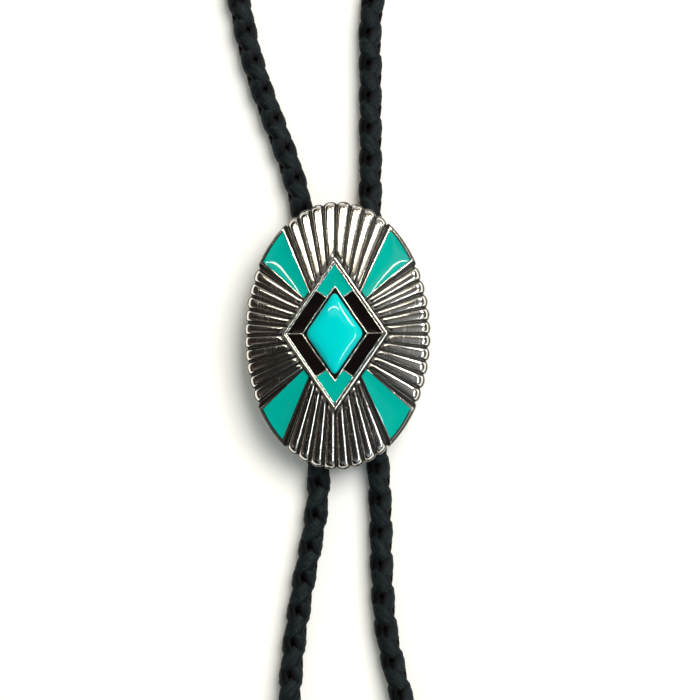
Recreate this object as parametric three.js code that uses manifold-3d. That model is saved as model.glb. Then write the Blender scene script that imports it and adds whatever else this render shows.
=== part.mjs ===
// A bolo tie: a cast oval slide with ribbed fans, teal and black enamel and a diamond cabochon, on a braided
// cord whose two free ends carry metal tips. It lies face up on a table.
// Millimetres. The origin is the middle of the clip's flat back, +X is right and +Y is up towards the neck loop
// as the face is seen, and +Z stands out of the face.
import * as THREE from "three";
import { mergeVertices } from "three/addons/utils/BufferGeometryUtils.js";
import Module from "manifold-3d";

const wasm = await Module();
wasm.setup();

// Clearances
const SEAT_GAP = 0.3;
const INLAY_GAP = 0.12;

// Cord and the clip that holds it
const CORD_DIAMETER = 4.4;
const CLIP_SHEET = 0.8;
const CLIP_LENGTH = 22;
const CHANNEL_WIDTH = CORD_DIAMETER + 0.8;
const CHANNEL_OFFSET = 6.2;
const CHANNEL_HEIGHT = CORD_DIAMETER + 2 * SEAT_GAP;
const CLIP_HEIGHT = CHANNEL_HEIGHT + 2 * CLIP_SHEET;
const CLIP_HALF_WIDTH = CHANNEL_OFFSET + CHANNEL_WIDTH / 2 + CLIP_SHEET;
const CLIP_CORNER = 1.2;

// Oval slide
const OVAL_HALF_WIDTH = 18.1;
const OVAL_HALF_HEIGHT = 26;
const BACK_Z = CLIP_HEIGHT + SEAT_GAP;
const LIP = 0.35;
const FLANGE_Z = BACK_Z + 1.2;
const DOME_EDGE_Z = BACK_Z + 1.5;
const DOME_RISE = 3;
const SCALLOP_DEPTH = 0.55;
const SCALLOP_POWER = 2.4;
const RIB_DEPTH_SHARE = 0.21;

// Wedge recesses between the fans
const BORDER_RISE = 0.35;
const BORDER_START = 0.6;
const RECESS_DEPTH = 0.5;
const WALL_SLANT = 0.04;
const WEDGE_RIM_INSET = 0.8;
const WEDGE_FRAME_OFFSET = 8.85;
const WALL_SHARE = 0.008;

// Diamond frame. An offset is the distance from the middle to the diamond's straight side.
const DIAMOND_RATIO = 1.447;
const FRAME_OUTER = 8.47;
const FRAME_INNER = 7.61;
const FRAME_CORNER = 0.3;
const FRAME_FOOT_Z = BACK_Z + 2;
const FRAME_TOP_Z = BACK_Z + 5.2;
const DIVIDER_TOP_Z = BACK_Z + 4.95;
const CELL_FLOOR_Z = BACK_Z + 3.95;
const BEZEL_OUTER = 5.3;
const BEZEL_INNER = 5.04;
const DIVIDER_HALF_WIDTH = 0.13;
const CHEVRON_CUT = -4.78;
const HIDDEN_RING = 7.9;

// Cabochon
const CABOCHON_OFFSET = 4.64;
const CABOCHON_CORNER = 1.2;
const CABOCHON_SEAT_Z = CELL_FLOOR_Z + SEAT_GAP;
const CABOCHON_TOP_Z = BACK_Z + 6.5;

// Metal tips
const TIP_RADIUS = 2.9;
const TIP_LENGTH = 33;

const degrees = THREE.MathUtils.degToRad;

// The four fans of ribs, anticlockwise from the right one. The ribs of a fan spread from a point that lies
// behind the slide's middle, and so do the straight edges of the enamel beside it.
const fans = [
  { heading: 0, ribs: 10, behind: 3.2, pitch: 7.1, enamelBehind: 1.62, enamelAngle: 41.9 },
  { heading: 90, ribs: 8, behind: 3.3, pitch: 5.35, enamelBehind: 3.3, enamelAngle: 24 },
  { heading: 180, ribs: 10, behind: 3.2, pitch: 7.1, enamelBehind: 1.62, enamelAngle: 41.9 },
  { heading: 270, ribs: 8, behind: 3.3, pitch: 5.35, enamelBehind: 3.3, enamelAngle: 24 },
];

// The section of one rib over its pitch: a flat groove, a steep side and a softly rounded crest.
const ribSection = [
  { across: -0.5, crest: 0 },
  { across: -0.36, crest: 0 },
  { across: -0.27, crest: 0.82 },
  { across: 0, crest: 1 },
  { across: 0.27, crest: 0.82 },
  { across: 0.36, crest: 0 },
];

// Cord routes in plan, chosen by hand: the neck loop from the left channel round to the right one, and the two
// free ends from the clip down to their tips.
const neckLoopPlan = [
  [-6.2, 0.15],
  [-6.2, 9],
  [-6.8, 17],
  [-7.65, 25.4],
  [-10.1, 34.2],
  [-12.95, 42],
  [-15.85, 49.8],
  [-18.25, 57.6],
  [-19.95, 65.5],
  [-24.1, 81.5],
  [-33, 105],
  [-49, 136],
  [-67, 169],
  [-82, 206],
  [-85, 245],
  [-71, 282],
  [-40, 307],
  [0, 315],
  [40, 306],
  [70, 281],
  [83, 245],
  [79, 206],
  [63, 168],
  [43, 134],
  [24, 106],
  [11.4, 83.5],
  [6.3, 65.5],
  [5.95, 50],
  [5.95, 36],
  [5.95, 24.9],
  [6.2, 9],
  [6.2, 0.15],
];
const leftEndPlan = [
  [-6.2, -0.15],
  [-6.2, -9],
  [-5.5, -17.5],
  [-4.25, -27],
  [-5.05, -36.3],
  [-7.25, -48],
  [-9.05, -59.8],
  [-9.75, -68.6],
  [-9.85, -75],
];
const rightEndPlan = [
  [6.2, -0.15],
  [6.2, -9],
  [6.7, -17.5],
  [7.55, -27],
  [7.9, -36.3],
  [8.05, -45.1],
  [8.95, -56.8],
  [11.65, -68.6],
  [13.75, -75],
];

// Heights of the cord's centre line: level in the clip, down on the table beyond the slide, and up to the tips.
const CORD_TABLE_Z = CORD_DIAMETER / 2 + 0.02;
const CORD_CLIP_Z = CLIP_SHEET + SEAT_GAP + CORD_DIAMETER / 2;
const CLIP_END_Y = CLIP_LENGTH / 2;
const TABLE_Y = 36;
const TIP_RISE_Y = -60;
const TIP_MOUTH_Y = -73;

function cordHeight(y) {
  const fall = THREE.MathUtils.smoothstep(Math.abs(y), CLIP_END_Y, TABLE_Y);
  const rise = THREE.MathUtils.smoothstep(-y, -TIP_RISE_Y, -TIP_MOUTH_Y);
  return THREE.MathUtils.lerp(CORD_CLIP_Z, CORD_TABLE_Z, fall) + (TIP_RADIUS - CORD_TABLE_Z) * rise;
}

// A smooth curve through the points of a plan, lifted to the cord's heights.
class CordRoute extends THREE.Curve {
  constructor(plan) {
    super();
    this.plan = new THREE.CatmullRomCurve3(plan.map(([x, y]) => new THREE.Vector3(x, y, 0)));
    this.arcLengthDivisions = 2000;
    this.plan.arcLengthDivisions = 2000;
  }

  getPoint(t, target = new THREE.Vector3()) {
    target.copy(this.plan.getPoint(t));
    target.z = cordHeight(target.y);
    return target;
  }
}

// Outlines in plan

const diamondLength = Math.hypot(1, DIAMOND_RATIO);
const sideNormal = new THREE.Vector2(DIAMOND_RATIO, 1).divideScalar(diamondLength);
const sideDirection = new THREE.Vector2(1, -DIAMOND_RATIO).divideScalar(diamondLength);

// A point beside the diamond's upper right side: a distance out from the middle, and a distance along the side.
function besideSide(offset, along) {
  return sideNormal.clone().multiplyScalar(offset).addScaledVector(sideDirection, along);
}

// Where a side at the given offset meets the height y on the right.
function alongAtHeight(offset, y) {
  return (sideNormal.y * offset - y) / -sideDirection.y;
}

function diamondCorners(offset) {
  const halfWidth = offset / sideNormal.x;
  const halfHeight = offset / sideNormal.y;
  return [
    new THREE.Vector2(halfWidth, 0),
    new THREE.Vector2(0, halfHeight),
    new THREE.Vector2(-halfWidth, 0),
    new THREE.Vector2(0, -halfHeight),
  ];
}

// A diamond whose corners are rounded over a length cut off each side.
function roundedDiamond(offset, cut) {
  const corners = diamondCorners(offset);
  const shape = new THREE.Shape();
  corners.forEach((corner, index) => {
    const before = corners[(index + 3) % 4].clone().sub(corner).setLength(cut).add(corner);
    const after = corners[(index + 1) % 4].clone().sub(corner).setLength(cut).add(corner);
    if (index === 0) {
      shape.moveTo(before.x, before.y);
    } else {
      shape.lineTo(before.x, before.y);
    }
    shape.quadraticCurveTo(corner.x, corner.y, after.x, after.y);
  });
  shape.closePath();
  return shape;
}

function mirrored(points, sideX, sideY) {
  const turned = points.map((point) => new THREE.Vector2(point.x * sideX, point.y * sideY));
  return sideX * sideY < 0 ? turned.reverse() : turned;
}

// The cell of a black panel at the upper right, shrunk by a clearance.
function panelOutline(clearance) {
  const outer = FRAME_INNER - clearance;
  const inner = BEZEL_OUTER + clearance;
  const start = CHEVRON_CUT + DIVIDER_HALF_WIDTH + clearance;
  const lowest = DIVIDER_HALF_WIDTH + clearance;
  return [
    besideSide(outer, start),
    besideSide(inner, start),
    besideSide(inner, alongAtHeight(inner, lowest)),
    besideSide(outer, alongAtHeight(outer, lowest)),
  ];
}

// The cell of the upper chevron, shrunk by a clearance.
function chevronOutline(clearance) {
  const outer = FRAME_INNER - clearance;
  const inner = BEZEL_OUTER + clearance;
  const end = CHEVRON_CUT - DIVIDER_HALF_WIDTH - clearance;
  const right = [besideSide(inner, end), besideSide(outer, end)];
  const left = mirrored(right, -1, 1);
  return [
    diamondCorners(inner)[1],
    ...right,
    diamondCorners(outer)[1],
    ...left,
  ];
}

// The slide's outline and the lines that cross its face

function ovalPoint(angle, inset) {
  return new THREE.Vector2(
    (OVAL_HALF_WIDTH - inset) * Math.cos(angle),
    (OVAL_HALF_HEIGHT - inset) * Math.sin(angle),
  );
}

function ovalAngle(point, inset) {
  return Math.atan2(point.y / (OVAL_HALF_HEIGHT - inset), point.x / (OVAL_HALF_WIDTH - inset));
}

// A straight line across the face that starts behind the middle and crosses the frame and the rim.
class FaceLine {
  constructor(heading, behind, angle) {
    const axis = new THREE.Vector2(1, 0).rotateAround(new THREE.Vector2(), degrees(heading));
    this.start = axis.clone().multiplyScalar(-behind);
    this.direction = axis.rotateAround(new THREE.Vector2(), degrees(angle));
  }

  at(distance) {
    return this.start.clone().addScaledVector(this.direction, distance);
  }

  atFrame(offset) {
    const towards = new THREE.Vector2(
      Math.sign(this.direction.x) * sideNormal.x,
      Math.sign(this.direction.y) * sideNormal.y,
    );
    return this.at((offset - towards.dot(this.start)) / towards.dot(this.direction));
  }

  atRim(inset) {
    const scale = new THREE.Vector2(1 / (OVAL_HALF_WIDTH - inset), 1 / (OVAL_HALF_HEIGHT - inset));
    const start = this.start.clone().multiply(scale);
    const direction = this.direction.clone().multiply(scale);
    const a = direction.dot(direction);
    const b = direction.dot(start);
    const c = start.dot(start) - 1;
    return this.at((-b + Math.sqrt(b * b - a * c)) / a);
  }
}

// A line that lies a share of the way from one face line to another.
class BetweenLines {
  constructor(first, second, share) {
    Object.assign(this, { first, second, share });
  }

  atFrame(offset) {
    return this.first.atFrame(offset).lerp(this.second.atFrame(offset), this.share);
  }

  atRim(inset) {
    const from = ovalAngle(this.first.atRim(inset), inset);
    const turn = ovalAngle(this.second.atRim(inset), inset) - from;
    const shortTurn = Math.atan2(Math.sin(turn), Math.cos(turn));
    return ovalPoint(from + shortTurn * this.share, inset);
  }
}

function enamelEdge(fan, side) {
  return new FaceLine(fan.heading, fan.enamelBehind, side * fan.enamelAngle);
}

// Heights of the face

function domeHeight(point) {
  const reach = (point.x / OVAL_HALF_WIDTH) ** 2 + (point.y / OVAL_HALF_HEIGHT) ** 2;
  return DOME_EDGE_Z + DOME_RISE * (1 - reach);
}

function ribHeight(column, point) {
  const pitchWidth = point.distanceTo(column.line.start) * degrees(column.pitch);
  return domeHeight(point) + RIB_DEPTH_SHARE * pitchWidth * column.crest;
}

function borderHeight(point) {
  return domeHeight(point) + BORDER_RISE;
}

function floorHeight(point) {
  return domeHeight(point) - RECESS_DEPTH;
}

function noseHeight(column, point, share) {
  return THREE.MathUtils.lerp(FLANGE_Z, ribHeight(column, point), share);
}

// The rings of the slide's surface between the middle of its back and the middle of its face. rim is a ring's
// distance in from the outline, frame its offset round the diamond frame, and way its place between the two.
const faceRings = [
  { rim: LIP, edge: BACK_Z },
  { rim: 0, edge: BACK_Z + LIP },
  { rim: 0, edge: FLANGE_Z },
  { rim: 0.4, nose: 0, recess: borderHeight },
  { rim: WEDGE_RIM_INSET, nose: 0.78, recess: borderHeight },
  { rim: WEDGE_RIM_INSET + WALL_SLANT, nose: 0.8, recess: floorHeight },
  { rim: 1.4, nose: 1, recess: floorHeight },
  { way: 0.35, nose: 1, recess: floorHeight },
  { way: 0.7, nose: 1, recess: floorHeight },
  { frame: WEDGE_FRAME_OFFSET + WALL_SLANT, nose: 1, recess: floorHeight },
  { frame: WEDGE_FRAME_OFFSET, nose: 1, recess: borderHeight },
  { frame: HIDDEN_RING, nose: 1, recess: borderHeight },
];

function faceColumns() {
  const columns = [];
  fans.forEach((fan, index) => {
    const next = fans[(index + 1) % fans.length];
    const halfSpread = (fan.ribs / 2) * fan.pitch;
    const addRibLine = (angle, across, crest) => {
      const line = new FaceLine(fan.heading, fan.behind, angle);
      const scallop = SCALLOP_DEPTH * (2 * Math.abs(across)) ** SCALLOP_POWER;
      columns.push({ kind: "rib", line, crest, scallop, pitch: fan.pitch });
    };
    for (let rib = 0; rib < fan.ribs; rib++) {
      for (const { across, crest } of ribSection) {
        addRibLine((rib + 0.5 + across) * fan.pitch - halfSpread, across, crest);
      }
    }
    addRibLine(halfSpread, 0.5, 0);
    const lastGroove = new FaceLine(fan.heading, fan.behind, halfSpread);
    const firstGroove = new FaceLine(next.heading, next.behind, (-next.ribs / 2) * next.pitch);
    const near = enamelEdge(fan, 1);
    const far = enamelEdge(next, -1);
    const addLine = (kind, line) => columns.push({ kind, line, scallop: 0 });
    addLine("border", new BetweenLines(lastGroove, near, BORDER_START));
    addLine("border", near);
    for (const share of [WALL_SHARE, 1 / 3, 2 / 3, 1 - WALL_SHARE]) {
      addLine("recess", new BetweenLines(near, far, share));
    }
    addLine("border", far);
    addLine("border", new BetweenLines(firstGroove, far, BORDER_START));
  });
  return columns;
}

function facePoint(column, ring) {
  const rimInset = ring.rim ?? faceRings.findLast((other) => "rim" in other).rim;
  let point = column.line.atRim(rimInset + column.scallop);
  if (ring.frame) {
    point = column.line.atFrame(ring.frame);
  } else if (ring.way) {
    point.lerp(column.line.atFrame(WEDGE_FRAME_OFFSET + WALL_SLANT), ring.way);
  }
  let height = ring.edge;
  if (height === undefined && column.kind === "rib") {
    height = noseHeight(column, point, ring.nose);
  } else if (height === undefined) {
    height = column.kind === "recess" ? ring.recess(point) : borderHeight(point);
  }
  return new THREE.Vector3(point.x, point.y, height);
}

// Solids

// A lathe grid whose points are then placed one by one. Its columns turn anticlockwise as the face is seen, and
// its rows run from the middle of the back out round the edge and in to the middle of the front.
function griddedSolid(columns, rings, backMiddle, frontMiddle, place) {
  const rows = rings + 2;
  const profile = Array.from({ length: rows }, (_, row) => new THREE.Vector2(row % (rows - 1) ? 1 : 0, row));
  const geometry = new THREE.LatheGeometry(profile, columns);
  const position = geometry.getAttribute("position");
  for (let column = 0; column <= columns; column++) {
    for (let row = 0; row < rows; row++) {
      let point = row === 0 ? backMiddle : frontMiddle;
      if (row > 0 && row < rows - 1) {
        point = place(column % columns, row - 1);
      }
      position.setXYZ(column * rows + row, point.x, point.y, point.z);
    }
  }
  return geometry;
}

function prism(shape, bottom, top) {
  const geometry = new THREE.ExtrudeGeometry(shape, {
    depth: top - bottom,
    steps: 1,
    curveSegments: 3,
    bevelEnabled: false,
  });
  return geometry.translate(0, 0, bottom);
}

function toSolid(geometry) {
  const bare = geometry.clone();
  bare.deleteAttribute("normal");
  bare.deleteAttribute("uv");
  const merged = mergeVertices(bare, 1e-4);
  const mesh = new wasm.Mesh({
    numProp: 3,
    vertProperties: merged.getAttribute("position").array,
    triVerts: new Uint32Array(merged.index.array),
  });
  return new wasm.Manifold(mesh);
}

function fromSolid(solid) {
  const { vertProperties, triVerts } = solid.getMesh();
  const geometry = new THREE.BufferGeometry();
  geometry.setAttribute("position", new THREE.BufferAttribute(new Float32Array(vertProperties), 3));
  geometry.setIndex(Array.from(triVerts));
  return geometry;
}

const quarters = [
  { name: "upper_right", sideX: 1, sideY: 1 },
  { name: "upper_left", sideX: -1, sideY: 1 },
  { name: "lower_left", sideX: -1, sideY: -1 },
  { name: "lower_right", sideX: 1, sideY: -1 },
];
const chevronEnds = [
  { name: "top", sideY: 1 },
  { name: "bottom", sideY: -1 },
];

// The cast slide: the ribbed dome, joined to the diamond frame, with the inlay cells and the stone's pit cut in.
function slideBody() {
  const columns = faceColumns();
  const dome = griddedSolid(
    columns.length,
    faceRings.length,
    new THREE.Vector3(0, 0, BACK_Z),
    new THREE.Vector3(0, 0, domeHeight(new THREE.Vector2())),
    (column, ring) => facePoint(columns[column], faceRings[ring]),
  );
  const above = FRAME_TOP_Z + 1;
  let solid = toSolid(dome).add(toSolid(prism(roundedDiamond(FRAME_OUTER, FRAME_CORNER), FRAME_FOOT_Z, FRAME_TOP_Z)));
  const cut = (points, floor) => {
    solid = solid.subtract(toSolid(prism(new THREE.Shape(points), floor, above)));
  };
  cut(diamondCorners(FRAME_INNER), DIVIDER_TOP_Z);
  cut(diamondCorners(BEZEL_INNER), CELL_FLOOR_Z);
  for (const { sideX, sideY } of quarters) {
    cut(mirrored(panelOutline(0), sideX, sideY), CELL_FLOOR_Z);
  }
  for (const { sideY } of chevronEnds) {
    cut(mirrored(chevronOutline(0), 1, sideY), CELL_FLOOR_Z);
  }
  return fromSolid(solid);
}

// The enamel of one wedge recess, slightly domed like a drop of glass. The wedge after a fan lies anticlockwise
// of it.
function enamelWedge(fan, next) {
  const near = enamelEdge(fan, 1);
  const far = enamelEdge(next, -1);
  const rimInset = WEDGE_RIM_INSET + WALL_SLANT + INLAY_GAP;
  const frameOffset = WEDGE_FRAME_OFFSET + WALL_SLANT + INLAY_GAP;
  const sideShare = 0.045;
  const steps = [0, 1 / 3, 2 / 3, 1];
  const across = (share) => new BetweenLines(near, far, THREE.MathUtils.lerp(sideShare, 1 - sideShare, share));
  const nearSide = across(0);
  const farSide = across(1);
  const outline = [
    ...steps.map((step) => nearSide.atFrame(frameOffset).lerp(nearSide.atRim(rimInset), step)),
    ...steps.slice(1).map((step) => across(step).atRim(rimInset)),
    ...steps.slice(1).map((step) => farSide.atRim(rimInset).lerp(farSide.atFrame(frameOffset), step)),
  ];
  const middle = outline.reduce((sum, point) => sum.add(point), new THREE.Vector2()).divideScalar(outline.length);
  const bottom = (point) => floorHeight(point) + SEAT_GAP;
  const rings = [
    { reach: 1, height: bottom },
    { reach: 1, height: (point) => borderHeight(point) - 0.12 },
    { reach: 0.7, height: (point) => borderHeight(point) + 0.05 },
  ];
  return griddedSolid(
    outline.length,
    rings.length,
    new THREE.Vector3(middle.x, middle.y, bottom(middle)),
    new THREE.Vector3(middle.x, middle.y, borderHeight(middle) + 0.12),
    (column, ring) => {
      const point = middle.clone().lerp(outline[column], rings[ring].reach);
      return new THREE.Vector3(point.x, point.y, rings[ring].height(point));
    },
  );
}

function inlay(points) {
  return prism(new THREE.Shape(points), CELL_FLOOR_Z + SEAT_GAP, DIVIDER_TOP_Z - 0.05);
}

// The stone: a diamond with round corners, an upright girdle and a cushion top.
function cabochon() {
  const rings = [
    { offset: CABOCHON_OFFSET - 0.3, z: CABOCHON_SEAT_Z },
    { offset: CABOCHON_OFFSET, z: CABOCHON_SEAT_Z + 0.4 },
    { offset: CABOCHON_OFFSET - 0.2, z: CABOCHON_TOP_Z - 0.95 },
    { offset: CABOCHON_OFFSET - 0.9, z: CABOCHON_TOP_Z - 0.42 },
    { offset: CABOCHON_OFFSET - 2.2, z: CABOCHON_TOP_Z - 0.1 },
  ];
  const outlines = rings.map(({ offset }) => {
    const cut = CABOCHON_CORNER * (offset / CABOCHON_OFFSET);
    const points = roundedDiamond(offset, cut).getPoints(3);
    return points.slice(0, -1);
  });
  return griddedSolid(
    outlines[0].length,
    rings.length,
    new THREE.Vector3(0, 0, CABOCHON_SEAT_Z),
    new THREE.Vector3(0, 0, CABOCHON_TOP_Z),
    (column, ring) => {
      const point = outlines[ring][column];
      return new THREE.Vector3(point.x, point.y, rings[ring].z);
    },
  );
}

// A rectangle with round corners, in the plane of the clip's section.
function clipSection() {
  const shape = new THREE.Shape();
  const right = CLIP_HALF_WIDTH;
  const quarterTurn = Math.PI / 2;
  shape.absarc(right - CLIP_CORNER, CLIP_CORNER, CLIP_CORNER, -quarterTurn, 0);
  shape.absarc(right - CLIP_CORNER, CLIP_HEIGHT - CLIP_CORNER, CLIP_CORNER, 0, quarterTurn);
  shape.absarc(CLIP_CORNER - right, CLIP_HEIGHT - CLIP_CORNER, CLIP_CORNER, quarterTurn, 2 * quarterTurn);
  shape.absarc(CLIP_CORNER - right, CLIP_CORNER, CLIP_CORNER, 2 * quarterTurn, 3 * quarterTurn);
  shape.closePath();
  return shape;
}

// The section of a channel that runs the clip's whole length.
function channelSection(middle, width) {
  const top = CLIP_HEIGHT - CLIP_SHEET;
  return new THREE.Shape([
    new THREE.Vector2(middle - width / 2, CLIP_SHEET),
    new THREE.Vector2(middle + width / 2, CLIP_SHEET),
    new THREE.Vector2(middle + width / 2, top),
    new THREE.Vector2(middle - width / 2, top),
  ]);
}

// The clip: a flat sleeve of sheet with a channel for each stretch of cord and an open middle.
function cordClip() {
  const middleWidth = 2 * (CHANNEL_OFFSET - CHANNEL_WIDTH / 2 - CLIP_SHEET);
  let solid = toSolid(prism(clipSection(), -CLIP_LENGTH / 2, CLIP_LENGTH / 2));
  for (const { middle, width } of [
    { middle: -CHANNEL_OFFSET, width: CHANNEL_WIDTH },
    { middle: 0, width: middleWidth },
    { middle: CHANNEL_OFFSET, width: CHANNEL_WIDTH },
  ]) {
    solid = solid.subtract(toSolid(prism(channelSection(middle, width), -CLIP_LENGTH, CLIP_LENGTH)));
  }
  return fromSolid(solid).rotateX(Math.PI / 2);
}

// A cord's section: eight sides with a flat one below, as wide across its flats as the cord.
function cordSection() {
  const sides = 8;
  const radius = CORD_DIAMETER / 2 / Math.cos(Math.PI / sides);
  const corners = Array.from({ length: sides }, (_, side) => {
    const angle = ((side + 0.5) * 2 * Math.PI) / sides;
    return new THREE.Vector2(radius * Math.cos(angle), radius * Math.sin(angle));
  });
  return new THREE.Shape(corners);
}

function cordTube(plan, steps) {
  return new THREE.ExtrudeGeometry(cordSection(), { steps, extrudePath: new CordRoute(plan) });
}

// A metal tip: a plain sleeve with a small collar at its mouth and a round nose.
function cordTip() {
  const profile = [
    new THREE.Vector2(0, 0),
    new THREE.Vector2(TIP_RADIUS - 0.15, 0),
    new THREE.Vector2(TIP_RADIUS, 0.3),
    new THREE.Vector2(TIP_RADIUS, 1.6),
    new THREE.Vector2(TIP_RADIUS - 0.25, 1.9),
    new THREE.Vector2(TIP_RADIUS - 0.25, TIP_LENGTH * 0.55),
    new THREE.Vector2(TIP_RADIUS - 0.7, TIP_LENGTH - 3),
    new THREE.Vector2(TIP_RADIUS - 1.1, TIP_LENGTH - 1),
    new THREE.Vector2(TIP_RADIUS - 2, TIP_LENGTH - 0.15),
    new THREE.Vector2(0, TIP_LENGTH),
  ];
  return new THREE.LatheGeometry(profile, 14);
}

// Finishes
const finishes = {
  silver: new THREE.MeshStandardMaterial({ color: 0xc9c5b8, roughness: 0.3, metalness: 1 }),
  teal: new THREE.MeshStandardMaterial({ color: 0x00b8a5, roughness: 0.15, metalness: 0 }),
  black: new THREE.MeshStandardMaterial({ color: 0x0b0908, roughness: 0.15, metalness: 0 }),
  stone: new THREE.MeshStandardMaterial({ color: 0x00dad5, roughness: 0.12, metalness: 0 }),
  plated: new THREE.MeshStandardMaterial({ color: 0xbab8b0, roughness: 0.35, metalness: 1 }),
  braid: new THREE.MeshStandardMaterial({ color: 0x14171c, roughness: 0.6, metalness: 0 }),
};

const boloTie = new THREE.Group();

function addPiece(parent, name, geometry, finish) {
  const mesh = new THREE.Mesh(geometry, finish);
  mesh.name = name;
  parent.add(mesh);
  return mesh;
}

const slide = new THREE.Group();
boloTie.add(slide);
addPiece(slide, "slide_body", slideBody(), finishes.silver);
quarters.forEach(({ name, sideX, sideY }, index) => {
  addPiece(slide, `wedge_${name}`, enamelWedge(fans[index], fans[(index + 1) % fans.length]), finishes.teal);
  addPiece(slide, `panel_${name}`, inlay(mirrored(panelOutline(INLAY_GAP), sideX, sideY)), finishes.black);
});
for (const { name, sideY } of chevronEnds) {
  addPiece(slide, `chevron_${name}`, inlay(mirrored(chevronOutline(INLAY_GAP), 1, sideY)), finishes.teal);
}
addPiece(slide, "cabochon", cabochon(), finishes.stone);
addPiece(slide, "cord_clip", cordClip(), finishes.plated);

const cord = new THREE.Group();
boloTie.add(cord);
addPiece(cord, "neck_loop", cordTube(neckLoopPlan, 76), finishes.braid);
for (const { name, plan } of [
  { name: "left", plan: leftEndPlan },
  { name: "right", plan: rightEndPlan },
]) {
  addPiece(cord, `cord_end_${name}`, cordTube(plan, 14), finishes.braid);
  const mouth = new CordRoute(plan).getPoint(1);
  const heading = new CordRoute(plan).getTangent(1);
  heading.z = 0;
  const tip = addPiece(cord, `tip_${name}`, cordTip(), finishes.plated);
  tip.quaternion.setFromUnitVectors(new THREE.Vector3(0, 1, 0), heading.normalize());
  tip.position.copy(mouth).addScaledVector(heading, SEAT_GAP);
  tip.position.z = TIP_RADIUS;
}

export default boloTie;
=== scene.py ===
"""The looks of a bolo tie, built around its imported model.

The tie lies face up on a pale table: a cast oval slide with ribbed fans, teal and black enamel and a cushion of
turquoise-coloured stone, on a round braid of four soft strands whose free ends carry metal tips.

Sizes are in millimetres, and each mesh is scaled to metres when it is made. The origin is the middle of the
clip's flat back. +X is right, +Y is up towards the neck loop as the face is seen, and +Z stands out of the face.
"""

from __future__ import annotations

import logging
import math
import random
from dataclasses import dataclass, field
from enum import Enum
from typing import Any, Callable, Iterable, Sequence

import bmesh
import bpy
import numpy as np
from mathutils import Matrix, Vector

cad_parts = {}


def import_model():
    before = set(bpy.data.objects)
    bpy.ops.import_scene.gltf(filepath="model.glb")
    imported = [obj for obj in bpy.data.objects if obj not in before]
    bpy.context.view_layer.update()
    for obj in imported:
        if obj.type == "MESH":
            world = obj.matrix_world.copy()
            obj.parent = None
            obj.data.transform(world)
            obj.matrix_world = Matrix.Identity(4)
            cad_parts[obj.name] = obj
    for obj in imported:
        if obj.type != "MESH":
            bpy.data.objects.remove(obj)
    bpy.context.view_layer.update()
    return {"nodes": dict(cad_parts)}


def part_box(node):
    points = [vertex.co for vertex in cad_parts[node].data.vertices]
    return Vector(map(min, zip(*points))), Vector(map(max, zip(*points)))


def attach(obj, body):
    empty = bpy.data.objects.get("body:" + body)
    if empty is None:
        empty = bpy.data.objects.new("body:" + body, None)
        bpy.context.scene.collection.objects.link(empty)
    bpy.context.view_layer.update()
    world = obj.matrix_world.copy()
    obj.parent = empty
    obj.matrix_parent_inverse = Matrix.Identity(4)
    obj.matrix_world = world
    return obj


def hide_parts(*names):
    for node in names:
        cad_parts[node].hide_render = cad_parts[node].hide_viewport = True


MM = 0.001
BODY = "root"

Colour = tuple[float, float, float]
Point = tuple[float, float]
Material = bpy.types.Material
Node = bpy.types.Node
Piece = bpy.types.Object
Socket = bpy.types.NodeSocket

log = logging.getLogger("bolo_tie")


# Small helpers for numbers and curves


def smooth_step(low: float, high: float, value: float) -> float:
    """Rise smoothly from 0 at low to 1 at high.

    Args:
        low: where the rise starts.
        high: where the rise ends.
        value: the value to place on it.

    Returns:
        A number from 0 to 1.
    """
    share = min(1.0, max(0.0, (value - low) / (high - low)))
    return share * share * (3 - 2 * share)


def blend(start: float, end: float, share: float) -> float:
    """Mix two numbers by a share of the second."""
    return start + (end - start) * share


def quarter_round(share: float) -> float:
    """Rise from 0 to 1 as a quarter circle does, steep at first."""
    return math.sqrt(max(0.0, 1 - (1 - share) ** 2))


# Meshes


def new_object(name: str, data: bpy.types.ID) -> Piece:
    """Make an object that shows some data, and put it in the scene."""
    made = bpy.data.objects.new(name, data)
    bpy.context.scene.collection.objects.link(made)
    return made


class Shell:
    """Gathers closed surfaces, in millimetres, that become one mesh."""

    def __init__(self) -> None:
        """Start with no surface."""
        self.points: list[np.ndarray] = []
        self.faces: list[tuple[int, ...]] = []
        self.values: dict[str, list[np.ndarray]] = {}
        self.count = 0

    def add(self, points: np.ndarray, faces: Iterable[Sequence[int]], **values: np.ndarray) -> None:
        """Add one surface.

        Args:
            points: its points, one in a row.
            faces: the numbers of each face's points.
            values: a number at each point, for each name that a material reads.
        """
        self.points.append(points)
        self.faces.extend(tuple(index + self.count for index in face) for face in faces)
        for name, numbers in values.items():
            self.values.setdefault(name, []).append(numbers)
        self.count += len(points)

    def to_object(self, name: str, material: Material, sharp_angle: float) -> Piece:
        """Make the mesh object, with smooth faces and sharp edges.

        Args:
            name: the object's name.
            material: what the surfaces are made of.
            sharp_angle: the bend in degrees from which an edge stays sharp.

        Returns:
            The new object, in the scene.
        """
        mesh = bpy.data.meshes.new(name)
        mesh.from_pydata((np.concatenate(self.points) * MM).tolist(), [], self.faces)
        build = bmesh.new()
        build.from_mesh(mesh)
        bmesh.ops.recalc_face_normals(build, faces=build.faces)
        build.to_mesh(mesh)
        build.free()
        for value_name, numbers in self.values.items():
            layer = mesh.attributes.new(value_name, "FLOAT", "POINT")
            layer.data.foreach_set("value", np.concatenate(numbers).astype(np.float32))
        mesh.shade_smooth()
        mesh.set_sharp_from_angle(angle=math.radians(sharp_angle))
        mesh.materials.append(material)
        return new_object(name, mesh)


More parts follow.
